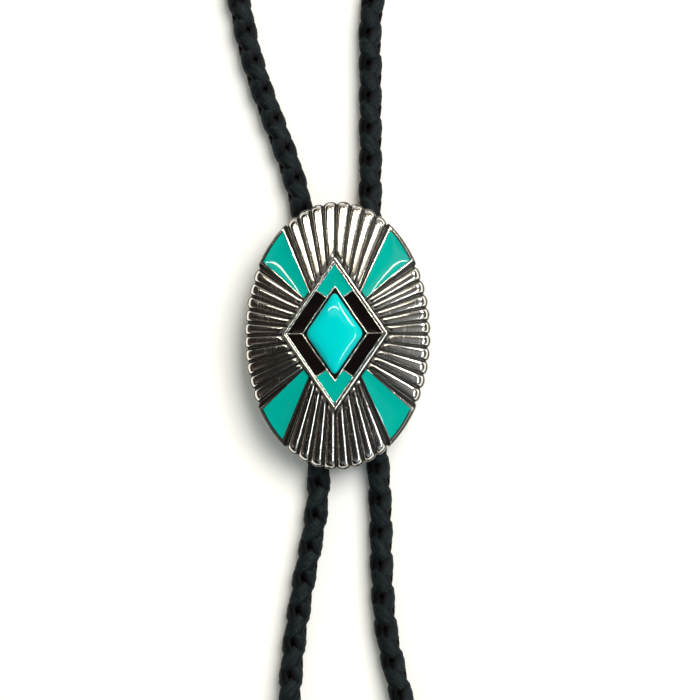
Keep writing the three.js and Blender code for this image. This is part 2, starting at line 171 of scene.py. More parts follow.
def ring_faces(columns: int, rows: int) -> list[tuple[int, ...]]:
    """Join a grid of points that closes on itself across its columns, by a quad for each cell."""
    faces = []
    for column in range(columns):
        here = column * rows
        there = (column + 1) % columns * rows
        faces.extend((here + row, there + row, there + row + 1, here + row + 1) for row in range(rows - 1))
    return faces


def closed_grid(grid: np.ndarray, start: Sequence[float], end: Sequence[float]) -> tuple[np.ndarray, list]:
    """Close a round grid with a point before its first row and one past its last.

    Args:
        grid: points by column and row.
        start: the point that closes the first row.
        end: the point that closes the last row.

    Returns:
        The points and the faces.
    """
    columns, rows = grid.shape[:2]
    points = np.concatenate([grid.reshape(-1, 3), [start, end]])
    faces = ring_faces(columns, rows)
    first, last = columns * rows, columns * rows + 1
    for column in range(columns):
        here = column * rows
        there = (column + 1) % columns * rows
        faces.append((first, there, here))
        faces.append((last, here + rows - 1, there + rows - 1))
    return points, faces


def slab(top: np.ndarray, bottom: np.ndarray) -> tuple[np.ndarray, list]:
    """Join two open grids of points, one over the other, into a closed solid.

    Args:
        top: the upper points by column and row.
        bottom: the lower points, as many.

    Returns:
        The points and the faces.
    """
    columns, rows = top.shape[:2]
    below = columns * rows
    faces = []
    for column in range(columns - 1):
        for row in range(rows - 1):
            corner = column * rows + row
            cell = (corner, corner + rows, corner + rows + 1, corner + 1)
            faces.append(cell)
            faces.append(tuple(below + index for index in reversed(cell)))
    edge = [column * rows for column in range(columns)]
    edge += [(columns - 1) * rows + row for row in range(1, rows)]
    edge += [column * rows + rows - 1 for column in range(columns - 2, -1, -1)]
    edge += list(range(rows - 2, 0, -1))
    for here, there in zip(edge, edge[1:] + edge[:1]):
        faces.append((here, below + here, below + there, there))
    return np.concatenate([top.reshape(-1, 3), bottom.reshape(-1, 3)]), faces


# Node trees


class Graph:
    """Adds and joins the nodes of one tree."""

    def __init__(self, tree: bpy.types.NodeTree) -> None:
        """Take the tree, which may be a material's, a world's or a group's."""
        self.tree = tree

    def connect(self, socket: Socket, value: Any) -> None:
        """Feed a socket from another socket or with a plain value."""
        if isinstance(value, Socket):
            self.tree.links.new(value, socket)
        else:
            socket.default_value = value

    def add(self, kind: str, inputs: dict[str | int, Any] | None = None, **settings: Any) -> Node:
        """Add a node.

        Args:
            kind: the node's type.
            inputs: what feeds its sockets, by name or number: another socket or a plain value.
            settings: the node's own settings.

        Returns:
            The new node.
        """
        node = self.tree.nodes.new(kind)
        for name, value in settings.items():
            setattr(node, name, value)
        for key, value in (inputs or {}).items():
            self.connect(node.inputs[key], value)
        return node

    def feed(self, node: Node, **inputs: Any) -> None:
        """Feed a node's sockets, named in small letters with underscores."""
        sockets = {socket.name.lower().replace(" ", "_"): socket for socket in node.inputs}
        for name, value in inputs.items():
            self.connect(sockets[name], value)

    def math(self, operation: str, *values: Any) -> Socket:
        """Work out one number from sockets or plain values, and return its socket."""
        return self.add("ShaderNodeMath", dict(enumerate(values)), operation=operation).outputs[0]

    def rise(self, value: Any, low: Any, high: Any) -> Socket:
        """Rise smoothly from 0 to 1 while the value goes from low to high, and return the socket."""
        inputs = {"Value": value, "From Min": low, "From Max": high}
        return self.add("ShaderNodeMapRange", inputs, interpolation_type="SMOOTHSTEP").outputs["Result"]

    def mix(self, share: Any, first: Any, second: Any) -> Socket:
        """Mix two numbers by a share of the second, and return the socket."""
        return self.add("ShaderNodeMix", {0: share, 2: first, 3: second}, data_type="FLOAT").outputs[0]

    def mix_colour(self, share: Any, first: Any, second: Any) -> Socket:
        """Mix two colours by a share of the second, and return the socket."""
        return self.add("ShaderNodeMix", {0: share, 6: first, 7: second}, data_type="RGBA").outputs[2]

    def value(self, name: str) -> Socket:
        """Read a number that the mesh keeps at each point, and return its socket."""
        return self.add("ShaderNodeAttribute", attribute_type="GEOMETRY", attribute_name=name).outputs["Fac"]

    def millimetres(self) -> Socket:
        """Return the socket of the place on the object, in millimetres."""
        place = self.add("ShaderNodeTexCoord").outputs["Object"]
        return self.add("ShaderNodeVectorMath", {0: place, "Scale": 1 / MM}, operation="SCALE").outputs["Vector"]

    def noise(self, place: Any, scale: Any, detail: float = 2.0, roughness: float = 0.5) -> Socket:
        """Add a noise of so many waves a millimetre, and return its socket."""
        inputs = {"Vector": place, "Scale": scale, "Detail": detail, "Roughness": roughness}
        return self.add("ShaderNodeTexNoise", inputs).outputs[0]

    def bump(self, height: Any, depth: float, under: Any = None) -> Socket:
        """Turn a height into a normal.

        Args:
            height: a socket from 0 to 1.
            depth: how deep in millimetres the height reaches.
            under: the normal of a coarser bump below it.

        Returns:
            The normal's socket.
        """
        inputs = {"Height": height, "Distance": depth * MM, "Strength": 1.0}
        if under is not None:
            inputs["Normal"] = under
        return self.add("ShaderNodeBump", inputs).outputs["Normal"]


def opaque(colour: Colour) -> tuple[float, float, float, float]:
    """Add the fourth number that a colour socket holds."""
    return (*colour, 1.0)


class SharedEffect(Enum):
    """The effects that more than one material uses, each a node group that is built once."""

    GRAIN = "surface_grain"
    HAIRLINES = "handling_hairlines"
    DRIFT = "colour_drift"
    SETTLED_DARK = "settled_dark"

    def place(self, graph: Graph, **inputs: Any) -> Socket:
        """Place the effect in a material.

        Args:
            graph: the material's nodes.
            inputs: what feeds the group's named inputs.

        Returns:
            The group's one output.
        """
        node = graph.add("ShaderNodeGroup", node_tree=bpy.data.node_groups.get(self.value) or self.group())
        graph.feed(node, **inputs)
        return node.outputs[0]

    def group(self) -> bpy.types.NodeTree:
        """Build the effect's node group."""
        plan = EFFECT_PLANS[self]
        tree = bpy.data.node_groups.new(self.value, "ShaderNodeTree")
        for label, kind in plan.inputs.items():
            tree.interface.new_socket(name=label, in_out="INPUT", socket_type=f"NodeSocket{kind}")
        label, kind = plan.output
        tree.interface.new_socket(name=label, in_out="OUTPUT", socket_type=f"NodeSocket{kind}")
        graph = Graph(tree)
        given = graph.add("NodeGroupInput").outputs
        graph.add("NodeGroupOutput", {0: plan.work(graph, given)})
        return tree


FINE_TO_COARSE = 4.3
HAIRLINE_TURNS = (0.6, 2.1)
HAIRLINE_TILT = (0.3, 0.2)
HAIRLINE_STRETCH = (1.0, 0.07, 1.0)
HAIRLINE_PATCHES = 0.35


def grain_height(graph: Graph, given: Any) -> Socket:
    """Work out the fine unevenness of a surface: a coarse and a fine noise, as a height from 0 to 1."""
    coarse = graph.noise(given["Place"], given["Scale"])
    fine = graph.noise(given["Place"], graph.math("MULTIPLY", given["Scale"], FINE_TO_COARSE), detail=3)
    return graph.mix(given["Fine share"], coarse, fine)


def hairline_mask(graph: Graph, given: Any) -> Socket:
    """Work out fine handling marks: thin lines where two long stretched noises cross their middle value."""
    masks = []
    for turn in HAIRLINE_TURNS:
        stretched = {"Vector": given["Place"], "Rotation": (*HAIRLINE_TILT, turn), "Scale": HAIRLINE_STRETCH}
        place = graph.add("ShaderNodeMapping", stretched).outputs[0]
        away = graph.math("ABSOLUTE", graph.math("SUBTRACT", graph.noise(place, given["Scale"], detail=1), 0.5))
        masks.append(graph.math("SUBTRACT", 1.0, graph.rise(away, 0.0, given["Width"])))
    patches = graph.rise(graph.noise(given["Place"], HAIRLINE_PATCHES), 0.45, 0.65)
    return graph.math("MULTIPLY", graph.math("MAXIMUM", *masks), patches)


def drifted_colour(graph: Graph, given: Any) -> Socket:
    """Work out a slow change of colour over a surface, towards a second colour."""
    cloud = graph.rise(graph.noise(given["Place"], given["Scale"], detail=3), 0.3, 0.7)
    return graph.mix_colour(graph.math("MULTIPLY", cloud, given["Amount"]), given["Colour"], given["Shade"])


def bare_metal_mask(graph: Graph, given: Any) -> Socket:
    """Work out what is left of a dark finish after polishing: 0 where it stays, 1 where metal is bare."""
    noise = graph.math("SUBTRACT", graph.noise(given["Place"], given["Scale"], detail=4, roughness=0.6), 0.5)
    return graph.rise(graph.math("MULTIPLY_ADD", noise, given["Ragged"], given["Polish"]), 0.25, 0.75)


@dataclass(frozen=True)
class EffectPlan:
    """How a shared effect is made: its work, and the kinds of its output and its inputs by name."""

    work: Callable[[Graph, Any], Socket]
    output: tuple[str, str]
    inputs: dict[str, str]


PLACED = {"Place": "Vector", "Scale": "Float"}
EFFECT_PLANS: dict[SharedEffect, EffectPlan] = {
    SharedEffect.GRAIN: EffectPlan(grain_height, ("Height", "Float"), {**PLACED, "Fine share": "Float"}),
    SharedEffect.HAIRLINES: EffectPlan(hairline_mask, ("Mask", "Float"), {**PLACED, "Width": "Float"}),
    SharedEffect.DRIFT: EffectPlan(
        drifted_colour, ("Colour", "Color"), {**PLACED, "Colour": "Color", "Shade": "Color", "Amount": "Float"}
    ),
    SharedEffect.SETTLED_DARK: EffectPlan(
        bare_metal_mask, ("Mask", "Float"), {**PLACED, "Polish": "Float", "Ragged": "Float"}
    ),
}


# Finishes


@dataclass(frozen=True, kw_only=True)
class Finish:
    """What every finish has: a name, a main colour, a roughness and a fine grain."""

    name: str
    colour: Colour
    roughness: float
    grain_scale: float
    fine_share: float
    grain_depth: float

    def start(self) -> tuple[Material, Graph, Node, Socket, Socket]:
        """Start the material.

        Returns:
            The material, its nodes, its Principled shader, the place in millimetres and the grain's height.
        """
        material = bpy.data.materials.new(self.name)
        material.use_nodes = True
        graph = Graph(material.node_tree)
        place = graph.millimetres()
        grain = SharedEffect.GRAIN.place(graph, place=place, scale=self.grain_scale, fine_share=self.fine_share)
        return material, graph, material.node_tree.nodes["Principled BSDF"], place, grain


@dataclass(frozen=True, kw_only=True)
class HandledFinish(Finish):
    """A finish with fine handling marks, whose colour drifts towards a shade."""

    shade: Colour
    drift_scale: float
    drift_amount: float
    mark_scale: float
    mark_width: float
    mark_roughness: float

    def drift(self, graph: Graph, place: Socket) -> Socket:
        """Drift from the main colour towards the shade, and return the socket."""
        colours = {"colour": opaque(self.colour), "shade": opaque(self.shade)}
        return SharedEffect.DRIFT.place(
            graph, place=place, scale=self.drift_scale, amount=self.drift_amount, **colours
        )

    def marked(self, graph: Graph, place: Socket, roughness: Any) -> Socket:
        """Add the handling marks to the surface's own roughness, and return the socket."""
        marks = SharedEffect.HAIRLINES.place(graph, place=place, scale=self.mark_scale, width=self.mark_width)
        return graph.math("MULTIPLY_ADD", marks, self.mark_roughness, roughness)


@dataclass(frozen=True, kw_only=True)
class AntiquedSilver(HandledFinish):
    """Polished cast metal with black patina in its grooves and painted shade beside the enamel. The mesh says how
    polished each point is.
    """

    name: str = "antiqued_silver"
    colour: Colour = (0.86, 0.83, 0.77)
    shade: Colour = (0.66, 0.61, 0.54)
    drift_scale: float = 0.45
    drift_amount: float = 0.4
    roughness: float = 0.11
    worn_roughness: float = 0.22
    grain_scale: float = 4.0
    fine_share: float = 0.4
    grain_depth: float = 0.0016
    mark_scale: float = 1.4
    mark_width: float = 0.012
    mark_roughness: float = 0.15
    dark: Colour = (0.012, 0.010, 0.008)
    dark_roughness: float = 0.5
    dark_metallic: float = 0.6
    dark_scale: float = 2.2
    dark_ragged: float = 0.36
    cast_scale: float = 0.9
    cast_depth: float = 0.007

    def material(self) -> Material:
        """Build the material."""
        material, graph, shader, place, grain = self.start()
        mask = SharedEffect.SETTLED_DARK.place(
            graph, place=place, scale=self.dark_scale, polish=graph.value("polish"), ragged=self.dark_ragged
        )
        bare = self.marked(graph, place, graph.mix(grain, self.roughness, self.worn_roughness))
        waves = graph.bump(graph.noise(place, self.cast_scale, detail=1), self.cast_depth)
        graph.feed(
            shader,
            base_color=graph.mix_colour(mask, opaque(self.dark), self.drift(graph, place)),
            metallic=graph.mix(mask, self.dark_metallic, 1.0),
            roughness=graph.mix(mask, self.dark_roughness, bare),
            normal=graph.bump(grain, self.grain_depth, under=waves),
        )
        return material


@dataclass(frozen=True, kw_only=True)
class GlossyInlay(HandledFinish):
    """Poured enamel or cast stone: an even colour under a wet gloss, with a faint unevenness."""

    drift_scale: float = 0.3
    drift_amount: float = 0.35
    roughness: float = 0.035
    specular: float = 0.4
    grain_scale: float = 0.55
    fine_share: float = 0.08
    grain_depth: float = 0.0014
    mark_scale: float = 1.1
    mark_width: float = 0.008
    mark_roughness: float = 0.12

    def material(self) -> Material:
        """Build the material."""
        material, graph, shader, place, grain = self.start()
        graph.feed(
            shader,
            base_color=self.drift(graph, place),
            roughness=self.marked(graph, place, self.roughness),
            specular_ior_level=self.specular,
            normal=graph.bump(grain, self.grain_depth),
        )
        return material


@dataclass(frozen=True, kw_only=True)
class NickelPlate(HandledFinish):
    """Plain bright plate with handling marks, and a roughness that varies with a fine grain."""

    name: str = "nickel_plate"
    colour: Colour = (0.72, 0.70, 0.66)
    shade: Colour = (0.50, 0.47, 0.42)
    drift_scale: float = 0.25
    drift_amount: float = 0.5
    roughness: float = 0.22
    grain_roughness: float = 0.14
    grain_scale: float = 3.0
    fine_share: float = 0.35
    grain_depth: float = 0.002
    mark_scale: float = 0.9
    mark_width: float = 0.015
    mark_roughness: float = 0.2

    def material(self) -> Material:
        """Build the material."""
        material, graph, shader, place, grain = self.start()
        uneven = graph.math("MULTIPLY_ADD", grain, self.grain_roughness, self.roughness)
        graph.feed(
            shader,
            base_color=self.drift(graph, place),
            metallic=1.0,
            roughness=self.marked(graph, place, uneven),
            normal=graph.bump(grain, self.grain_depth),
        )
        return material


@dataclass(frozen=True, kw_only=True)
class SoftStrand(Finish):
    """Black leatherette: fine grain, long creases, a painted highlight on each strand's middle and painted shade at
    its edges.
    """

    name: str = "black_leatherette"
    colour: Colour = (0.0014, 0.0040, 0.0072)
    # Painted highlight: the lighter colour that the strands' middles take.
    painted_highlight: Colour = (0.019, 0.029, 0.027)
    # Painted shade: the near black that the strands' edges and undersides take.
    painted_crease_shade: Colour = (0.0008, 0.0008, 0.0012)
    roughness: float = 0.5
    grain_roughness: float = 0.25
    specular: float = 0.14
    grain_scale: float = 2.6
    fine_share: float = 0.5
    grain_depth: float = 0.06
    crease_scale: float = 1.5
    crease_stretch: float = 0.16
    crease_depth: float = 0.12

    def material(self) -> Material:
        """Build the material."""
        material, graph, shader, _, grain = self.start()
        along = graph.math("MULTIPLY", graph.value("along"), self.crease_stretch)
        strand_place = graph.add("ShaderNodeCombineXYZ", {"X": graph.value("across"), "Y": along}).outputs[0]
        creases = graph.noise(strand_place, self.crease_scale, detail=3, roughness=0.65)
        edge = graph.value("crease")
        middle = graph.math("SUBTRACT", 1.0, graph.rise(edge, 0.2, 0.8))
        # Painted highlight: a speckled lighter colour along each strand's middle, away from its edges.
        speckle = graph.math("MULTIPLY", graph.rise(grain, 0.40, 0.66), middle)
        painted_highlight = graph.math("MULTIPLY", speckle, graph.rise(creases, 0.3, 0.62))
        uneven = graph.mix_colour(painted_highlight, opaque(self.colour), opaque(self.painted_highlight))
        folds = graph.bump(creases, self.crease_depth)
        # Painted shade: the colour goes nearly black towards each strand's edges and on its underside.
        graph.feed(
            shader,
            base_color=graph.mix_colour(graph.rise(edge, 0.42, 0.74), uneven, opaque(self.painted_crease_shade)),
            roughness=graph.math("MULTIPLY_ADD", grain, self.grain_roughness, self.roughness),
            specular_ior_level=self.specular,
            normal=graph.bump(grain, self.grain_depth, under=folds),
        )
        return material


@dataclass(frozen=True, kw_only=True)
class PaleTable(Finish):
    """The plain pale surface that the tie lies on."""

    name: str = "pale_table"
    colour: Colour = (0.86, 0.86, 0.85)
    roughness: float = 0.75
    grain_roughness: float = 0.1
    specular: float = 0.2
    grain_scale: float = 0.8
    fine_share: float = 0.5
    grain_depth: float = 0.01

    def material(self) -> Material:
        """Build the material."""
        material, graph, shader, _, grain = self.start()
        graph.feed(
            shader,
            base_color=opaque(self.colour),
            roughness=graph.math("MULTIPLY_ADD", grain, self.grain_roughness, self.roughness),
            specular_ior_level=self.specular,
            normal=graph.bump(grain, self.grain_depth),
        )
        return material


# The plan of the slide's face


@dataclass(frozen=True)
class Fan:
    """One fan of ribs. Its lines start behind the slide's middle, as the enamel's straight edges do."""

    heading: float
    ribs: int
    behind: float
    pitch: float
    enamel_behind: float
    enamel_angle: float


class Quarter(Enum):
    """The four quarters of the face, by the signs of x and y."""

    UPPER_RIGHT = (1, 1)
    UPPER_LEFT = (-1, 1)
    LOWER_LEFT = (-1, -1)
    LOWER_RIGHT = (1, -1)

    @property
    def label(self) -> str:
        """The quarter's name in the pieces' names."""
        return self.name.lower()


class End(Enum):
    """The two ends of the diamond, by the sign of y."""

    TOP = 1
    BOTTOM = -1


def side_fan(heading: float) -> Fan:
    """Describe one of the two ten-rib fans at the sides."""
    return Fan(heading, ribs=10, behind=3.2, pitch=7.1, enamel_behind=1.62, enamel_angle=41.9)


def end_fan(heading: float) -> Fan:
    """Describe one of the two eight-rib fans at the top and the bottom."""
    return Fan(heading, ribs=8, behind=3.3, pitch=5.35, enamel_behind=3.3, enamel_angle=24.0)


@dataclass(frozen=True)
class FacePlan:
    """Sizes of the slide's face that the casting, the enamel and the stone share."""

    back_z: float
    half_width: float = 18.1
    half_height: float = 26.0
    flange_rise: float = 1.2
    edge_rise: float = 1.5
    dome_rise: float = 3.0
    border_rise: float = 0.35
    recess_depth: float = 0.5
    wedge_rim: float = 0.8
    wedge_frame: float = 8.85
    diamond_ratio: float = 1.447
    frame_outer: float = 8.47
    frame_inner: float = 7.61
    frame_rise: float = 5.2
    divider_rise: float = 4.95
    floor_rise: float = 3.95
    bezel_outer: float = 5.3
    bezel_inner: float = 5.04
    divider_half_width: float = 0.13
    chevron_cut: float = -4.78
    fans: tuple[Fan, ...] = (side_fan(0), end_fan(90), side_fan(180), end_fan(270))

    @classmethod
    def from_frame(cls) -> FacePlan:
        """Take the height of the casting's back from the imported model."""
        low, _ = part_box("slide_body")
        return cls(back_z=low[2] / MM)

    @property
    def side_normal(self) -> Vector:
        """The way out across the diamond's upper right side."""
        return Vector((self.diamond_ratio, 1.0)).normalized()

    @property
    def side_direction(self) -> Vector:
        """The way down along the diamond's upper right side."""
        return Vector((1.0, -self.diamond_ratio)).normalized()

    def beside_side(self, offset: float, along: float) -> Vector:
        """Place a point by its distance out from the middle and along the diamond's upper right side."""
        return self.side_normal * offset + self.side_direction * along

    def along_at_height(self, offset: float, y: float) -> float:
        """Find how far along the side at an offset the height y lies."""
        return (self.side_normal.y * offset - y) / -self.side_direction.y

    def diamond_corners(self, offset: float) -> list[Vector]:
        """List the diamond's corners at an offset, anticlockwise from the right one."""
        width = offset / self.side_normal.x
        height = offset / self.side_normal.y
        return [Vector((width, 0)), Vector((0, height)), Vector((-width, 0)), Vector((0, -height))]

    def rounded_diamond(self, offset: float, cut: float, side_steps: int, corner_steps: int) -> list[Vector]:
        """Draw a diamond with rounded corners.

        Args:
            offset: the distance from the middle to its sides.
            cut: the length that the rounding takes off each side.
            side_steps: how many steps a straight side has.
            corner_steps: how many steps a rounded corner has.

        Returns:
            Its points, anticlockwise from the right corner's lower end.
        """
        corners = self.diamond_corners(offset)
        points = []
        for index, corner in enumerate(corners):
            after = corners[(index + 1) % 4]
            start = corner + (corners[index - 1] - corner).normalized() * cut
            end = corner + (after - corner).normalized() * cut
            for step in range(corner_steps):
                share = step / corner_steps
                points.append(start.lerp(corner, share).lerp(corner.lerp(end, share), share))
            next_start = after + (corner - after).normalized() * cut
            points.extend(end.lerp(next_start, step / side_steps) for step in range(side_steps))
        return points

    def oval_point(self, angle: float, inset: float) -> Vector:
        """Place a point on the oval outline, moved in by an inset."""
        return Vector(((self.half_width - inset) * math.cos(angle), (self.half_height - inset) * math.sin(angle)))

    def oval_angle(self, point: Vector, inset: float) -> float:
        """Find the angle of a point on the oval at an inset."""
        return math.atan2(point.y / (self.half_height - inset), point.x / (self.half_width - inset))

    def dome_height(self, point: Vector) -> float:
        """Find the height of the face's plain dome over a point."""
        reach = (point.x / self.half_width) ** 2 + (point.y / self.half_height) ** 2
        return self.back_z + self.edge_rise + self.dome_rise * (1 - reach)


class FaceLine:
    """A straight line across the face that starts behind the middle and crosses the frame and the rim."""

    def __init__(self, plan: FacePlan, heading: float, behind: float, angle: float) -> None:
        """Lay the line.

        Args:
            plan: the face's sizes.
            heading: the way that the line's fan points, in degrees.
            behind: how far behind the middle the line starts.
            angle: the line's turn from the fan's heading, in degrees.
        """
        self.plan = plan
        turn = math.radians(heading)
        self.start = Vector((math.cos(turn), math.sin(turn))) * -behind
        turn += math.radians(angle)
        self.direction = Vector((math.cos(turn), math.sin(turn)))

    def at_frame(self, offset: float) -> Vector:
        """Cross the diamond at an offset."""
        normal = self.plan.side_normal
        towards = Vector((math.copysign(normal.x, self.direction.x), math.copysign(normal.y, self.direction.y)))
        return self.start + self.direction * ((offset - towards.dot(self.start)) / towards.dot(self.direction))

    def at_rim(self, inset: float) -> Vector:
        """Cross the oval outline at an inset."""
        scale = Vector((1 / (self.plan.half_width - inset), 1 / (self.plan.half_height - inset)))
        start, direction = self.start * scale, self.direction * scale
        a, b, c = direction.dot(direction), direction.dot(start), start.dot(start) - 1
        return self.start + self.direction * ((-b + math.sqrt(b * b - a * c)) / a)


class BetweenLines:
    """A line that lies a share of the way from one face line to another."""

    def __init__(self, first: FaceLine, second: FaceLine, share: float) -> None:
        """Take the two lines and the share."""
        self.first, self.second, self.share = first, second, share

    def at_frame(self, offset: float) -> Vector:
        """Cross the diamond at an offset."""
        return self.first.at_frame(offset).lerp(self.second.at_frame(offset), self.share)

    def at_rim(self, inset: float) -> Vector:
        """Cross the oval outline at an inset, by the outline's own angles."""
        plan = self.first.plan
        start = plan.oval_angle(self.first.at_rim(inset), inset)
        turn = plan.oval_angle(self.second.at_rim(inset), inset) - start
        turn = math.atan2(math.sin(turn), math.cos(turn))
        return plan.oval_point(start + turn * self.share, inset)


def enamel_edges(plan: FacePlan, fan: Fan, following: Fan) -> tuple[FaceLine, FaceLine]:
    """Lay the two straight edges of the enamel between two neighbouring fans."""
    near = FaceLine(plan, fan.heading, fan.enamel_behind, fan.enamel_angle)
    far = FaceLine(plan, following.heading, following.enamel_behind, -following.enamel_angle)
    return near, far


# The casting


class Zone(Enum):
    """How a ring of the face is placed on each of its lines."""

    RIM = "in from the outline"
    WAY = "a share of the way from the rim to the frame"
    FRAME = "out from the diamond's middle"


class Ground(Enum):
    """What a line of the face runs over."""

    RIB = "the ribs"
    BORDER = "the thin wall round the enamel"
    RECESS = "the enamel's recess"


@dataclass(frozen=True)
class Ring:
    """One ring of points round the face."""

    zone: Zone
    at: float
    edge_z: float | None = None
    nose: float = 1.0
    walled: bool = False
    polish: float = 1.0
    root: float = 1.0


@dataclass(frozen=True)
class Column:
    """One line of points from the outline to the frame."""

    ground: Ground
    line: FaceLine | BetweenLines
    crest: float = 0.0
    scallop: float = 0.0
    pitch: float = 0.0
    polish: float = 1.0
    border: float = 1.0


@dataclass
class CastSlide:
    """The cast oval slide: ribbed dome, scalloped rim, enamel recesses, diamond frame and its dividers."""

    plan: FacePlan
    lip: float = 0.35
    scallop_depth: float = 0.55
    scallop_power: float = 2.4
    rib_depth_share: float = 0.21
    rib_half_width: float = 0.375
    rib_squareness: float = 4.6
    groove_line_rise: float = 0.12
    groove_line_power: float = 0.7
    groove_line_polish: float = 0.42
    nose_start: float = 0.2
    nose_end: float = 1.35
    ways: int = 16
    crest_unevenness: float = 0.07
    side_unevenness: float = 0.012
    nose_foot_drop: float = 0.05
    approach_stop: float = 0.45
    recess_polish: float = 0.1
    frame_wall: float = 3.2
    bezel_wobble: float = 0.03
    seed: int = 11
    half_across: tuple[float, ...] = (0.13, 0.25, 0.31, 0.35, 0.372, 0.385, 0.42, 0.46)

    def rib_crest(self, across: float) -> float:
        """Find a rib's height over its groove at a place across its pitch: 1 on the crest and 0 in the groove."""
        reach = abs(across) / self.rib_half_width
        if reach < 1:
            return math.sqrt(1 - reach**self.rib_squareness)
        ridge = 1 - (0.5 - abs(across)) / (0.5 - self.rib_half_width) * 2
        return self.groove_line_rise * max(0.0, ridge) ** self.groove_line_power

    def rib_polish(self, across: float) -> float:
        """Say how polished a place across the rib's pitch is."""
        if abs(across) < self.rib_half_width:
            return smooth_step(0.15, 0.75, self.rib_crest(across))
        return self.groove_line_polish * smooth_step(0.45, 0.5, abs(across))

    def columns(self) -> list[Column]:
        """List the face's lines, anticlockwise from the right fan's first groove."""
        made: list[Column] = []
        stations = [-0.5, *(-share for share in reversed(self.half_across)), 0.0, *self.half_across]
        draw = random.Random(self.seed)
        fans = self.plan.fans
        for index, fan in enumerate(fans):
            following = fans[(index + 1) % len(fans)]
            half_spread = fan.ribs / 2 * fan.pitch
            for rib in range(fan.ribs):
                height = 1 + self.crest_unevenness * draw.uniform(-1, 1)
                shift = self.side_unevenness * draw.uniform(-1, 1)
                for across in stations:
                    moved = across if across == -0.5 else across + shift
                    angle = (rib + 0.5 + moved) * fan.pitch - half_spread
                    made.append(self.rib_column(fan, angle, across, height))
            made.append(self.rib_column(fan, half_spread, 0.5, 1.0))
            made.extend(self.wedge_columns(fan, following))
        return made

    def rib_column(self, fan: Fan, angle: float, across: float, height: float) -> Column:
        """Describe one line over a fan's ribs.

        Args:
            fan: the fan.
            angle: the line's turn from the fan's heading.
            across: its place across the rib's pitch.
            height: the rib's own height against the others.

        Returns:
            The column.
        """
        return Column(
            ground=Ground.RIB,
            line=FaceLine(self.plan, fan.heading, fan.behind, angle),
            crest=self.rib_crest(across) * height,
            scallop=self.scallop_depth * (2 * abs(across)) ** self.scallop_power,
            pitch=fan.pitch,
            polish=self.rib_polish(across),
        )

    def wedge_columns(self, fan: Fan, following: Fan) -> list[Column]:
        """List the lines over the enamel recess after a fan, with its walls and the grooves beside them."""
        last = FaceLine(self.plan, fan.heading, fan.behind, fan.ribs / 2 * fan.pitch)
        first = FaceLine(self.plan, following.heading, following.behind, -following.ribs / 2 * following.pitch)
        near, far = enamel_edges(self.plan, fan, following)
        # Each row: the share of the way to the enamel, the wall's height, and how polished it is
        rows = [(0.3, 0.0, 0.0), (0.64, 0.0, 0.0), (0.69, 0.7, 0.4), (0.74, 0.95, 0.9), (0.86, 1.0, 1.0)]
        walls = []
        for groove, edge in ((last, near), (first, far)):
            wall = [
                Column(Ground.BORDER, BetweenLines(groove, edge, share), polish=polish, border=border)
                for share, border, polish in rows
            ]
            walls.append([*wall, Column(Ground.BORDER, edge, polish=0.9, border=0.96)])
        recess = [
            Column(Ground.RECESS, BetweenLines(near, far, share), polish=0.1)
            for share in (0.008, 0.06, 0.14, 0.24, 0.36, 0.5, 0.64, 0.76, 0.86, 0.94, 0.992)
        ]
        return [*walls[0], *recess, *reversed(walls[1])]

    def rings(self) -> list[Ring]:
        """List the face's rings from the back's edge round the rim and in to the frame."""
        plan = self.plan
        back = plan.back_z
        flange = back + plan.flange_rise
        made = [
            Ring(Zone.RIM, self.lip * (1 - step), edge_z=back + self.lip * (1 - quarter_round(1 - step)), polish=0.5)
            for step in (0.0, 0.3, 0.7, 1.0)
        ]
        # Each row: how far in, how far below the flange, and how polished
        edge_rows = (
            (0, 0.14, 0.5), (0.02, 0.05, 0.55), (0.06, 0, 0.6), (0.11, 0, 0.45), (0.14, 0.07, 0), (0.18, 0.07, 0)
        )
        made += [Ring(Zone.RIM, inset, edge_z=flange - drop, polish=polish) for inset, drop, polish in edge_rows]
        length = self.nose_end - self.nose_start
        wall_start = self.nose_start + 0.07
        insets = (self.nose_start, 0.23, 0.28, 0.35, 0.45, 0.6, plan.wedge_rim - 0.02, plan.wedge_rim)
        for inset in (*insets, plan.wedge_rim + 0.04):
            share = (inset - self.nose_start) / length
            walled = wall_start < inset < plan.wedge_rim + 0.01
            made.append(Ring(Zone.RIM, inset, nose=quarter_round(share), walled=walled, polish=share * 5))
        for inset in (1.0, 1.15, self.nose_end):
            made.append(Ring(Zone.RIM, inset, nose=quarter_round((inset - self.nose_start) / length)))
        made += [Ring(Zone.WAY, (step + 1) / self.ways) for step in range(self.ways)]
        for offset, walled, root in (
            (9.15, False, 0.9),
            (9.0, False, 0.72),
            (plan.wedge_frame + 0.04, False, 0.5),
            (plan.wedge_frame, True, 0.45),
            (8.6, True, 0.3),
            (7.9, True, 0.3),
        ):
            made.append(Ring(Zone.FRAME, offset, walled=walled, root=root, polish=root))
        return made

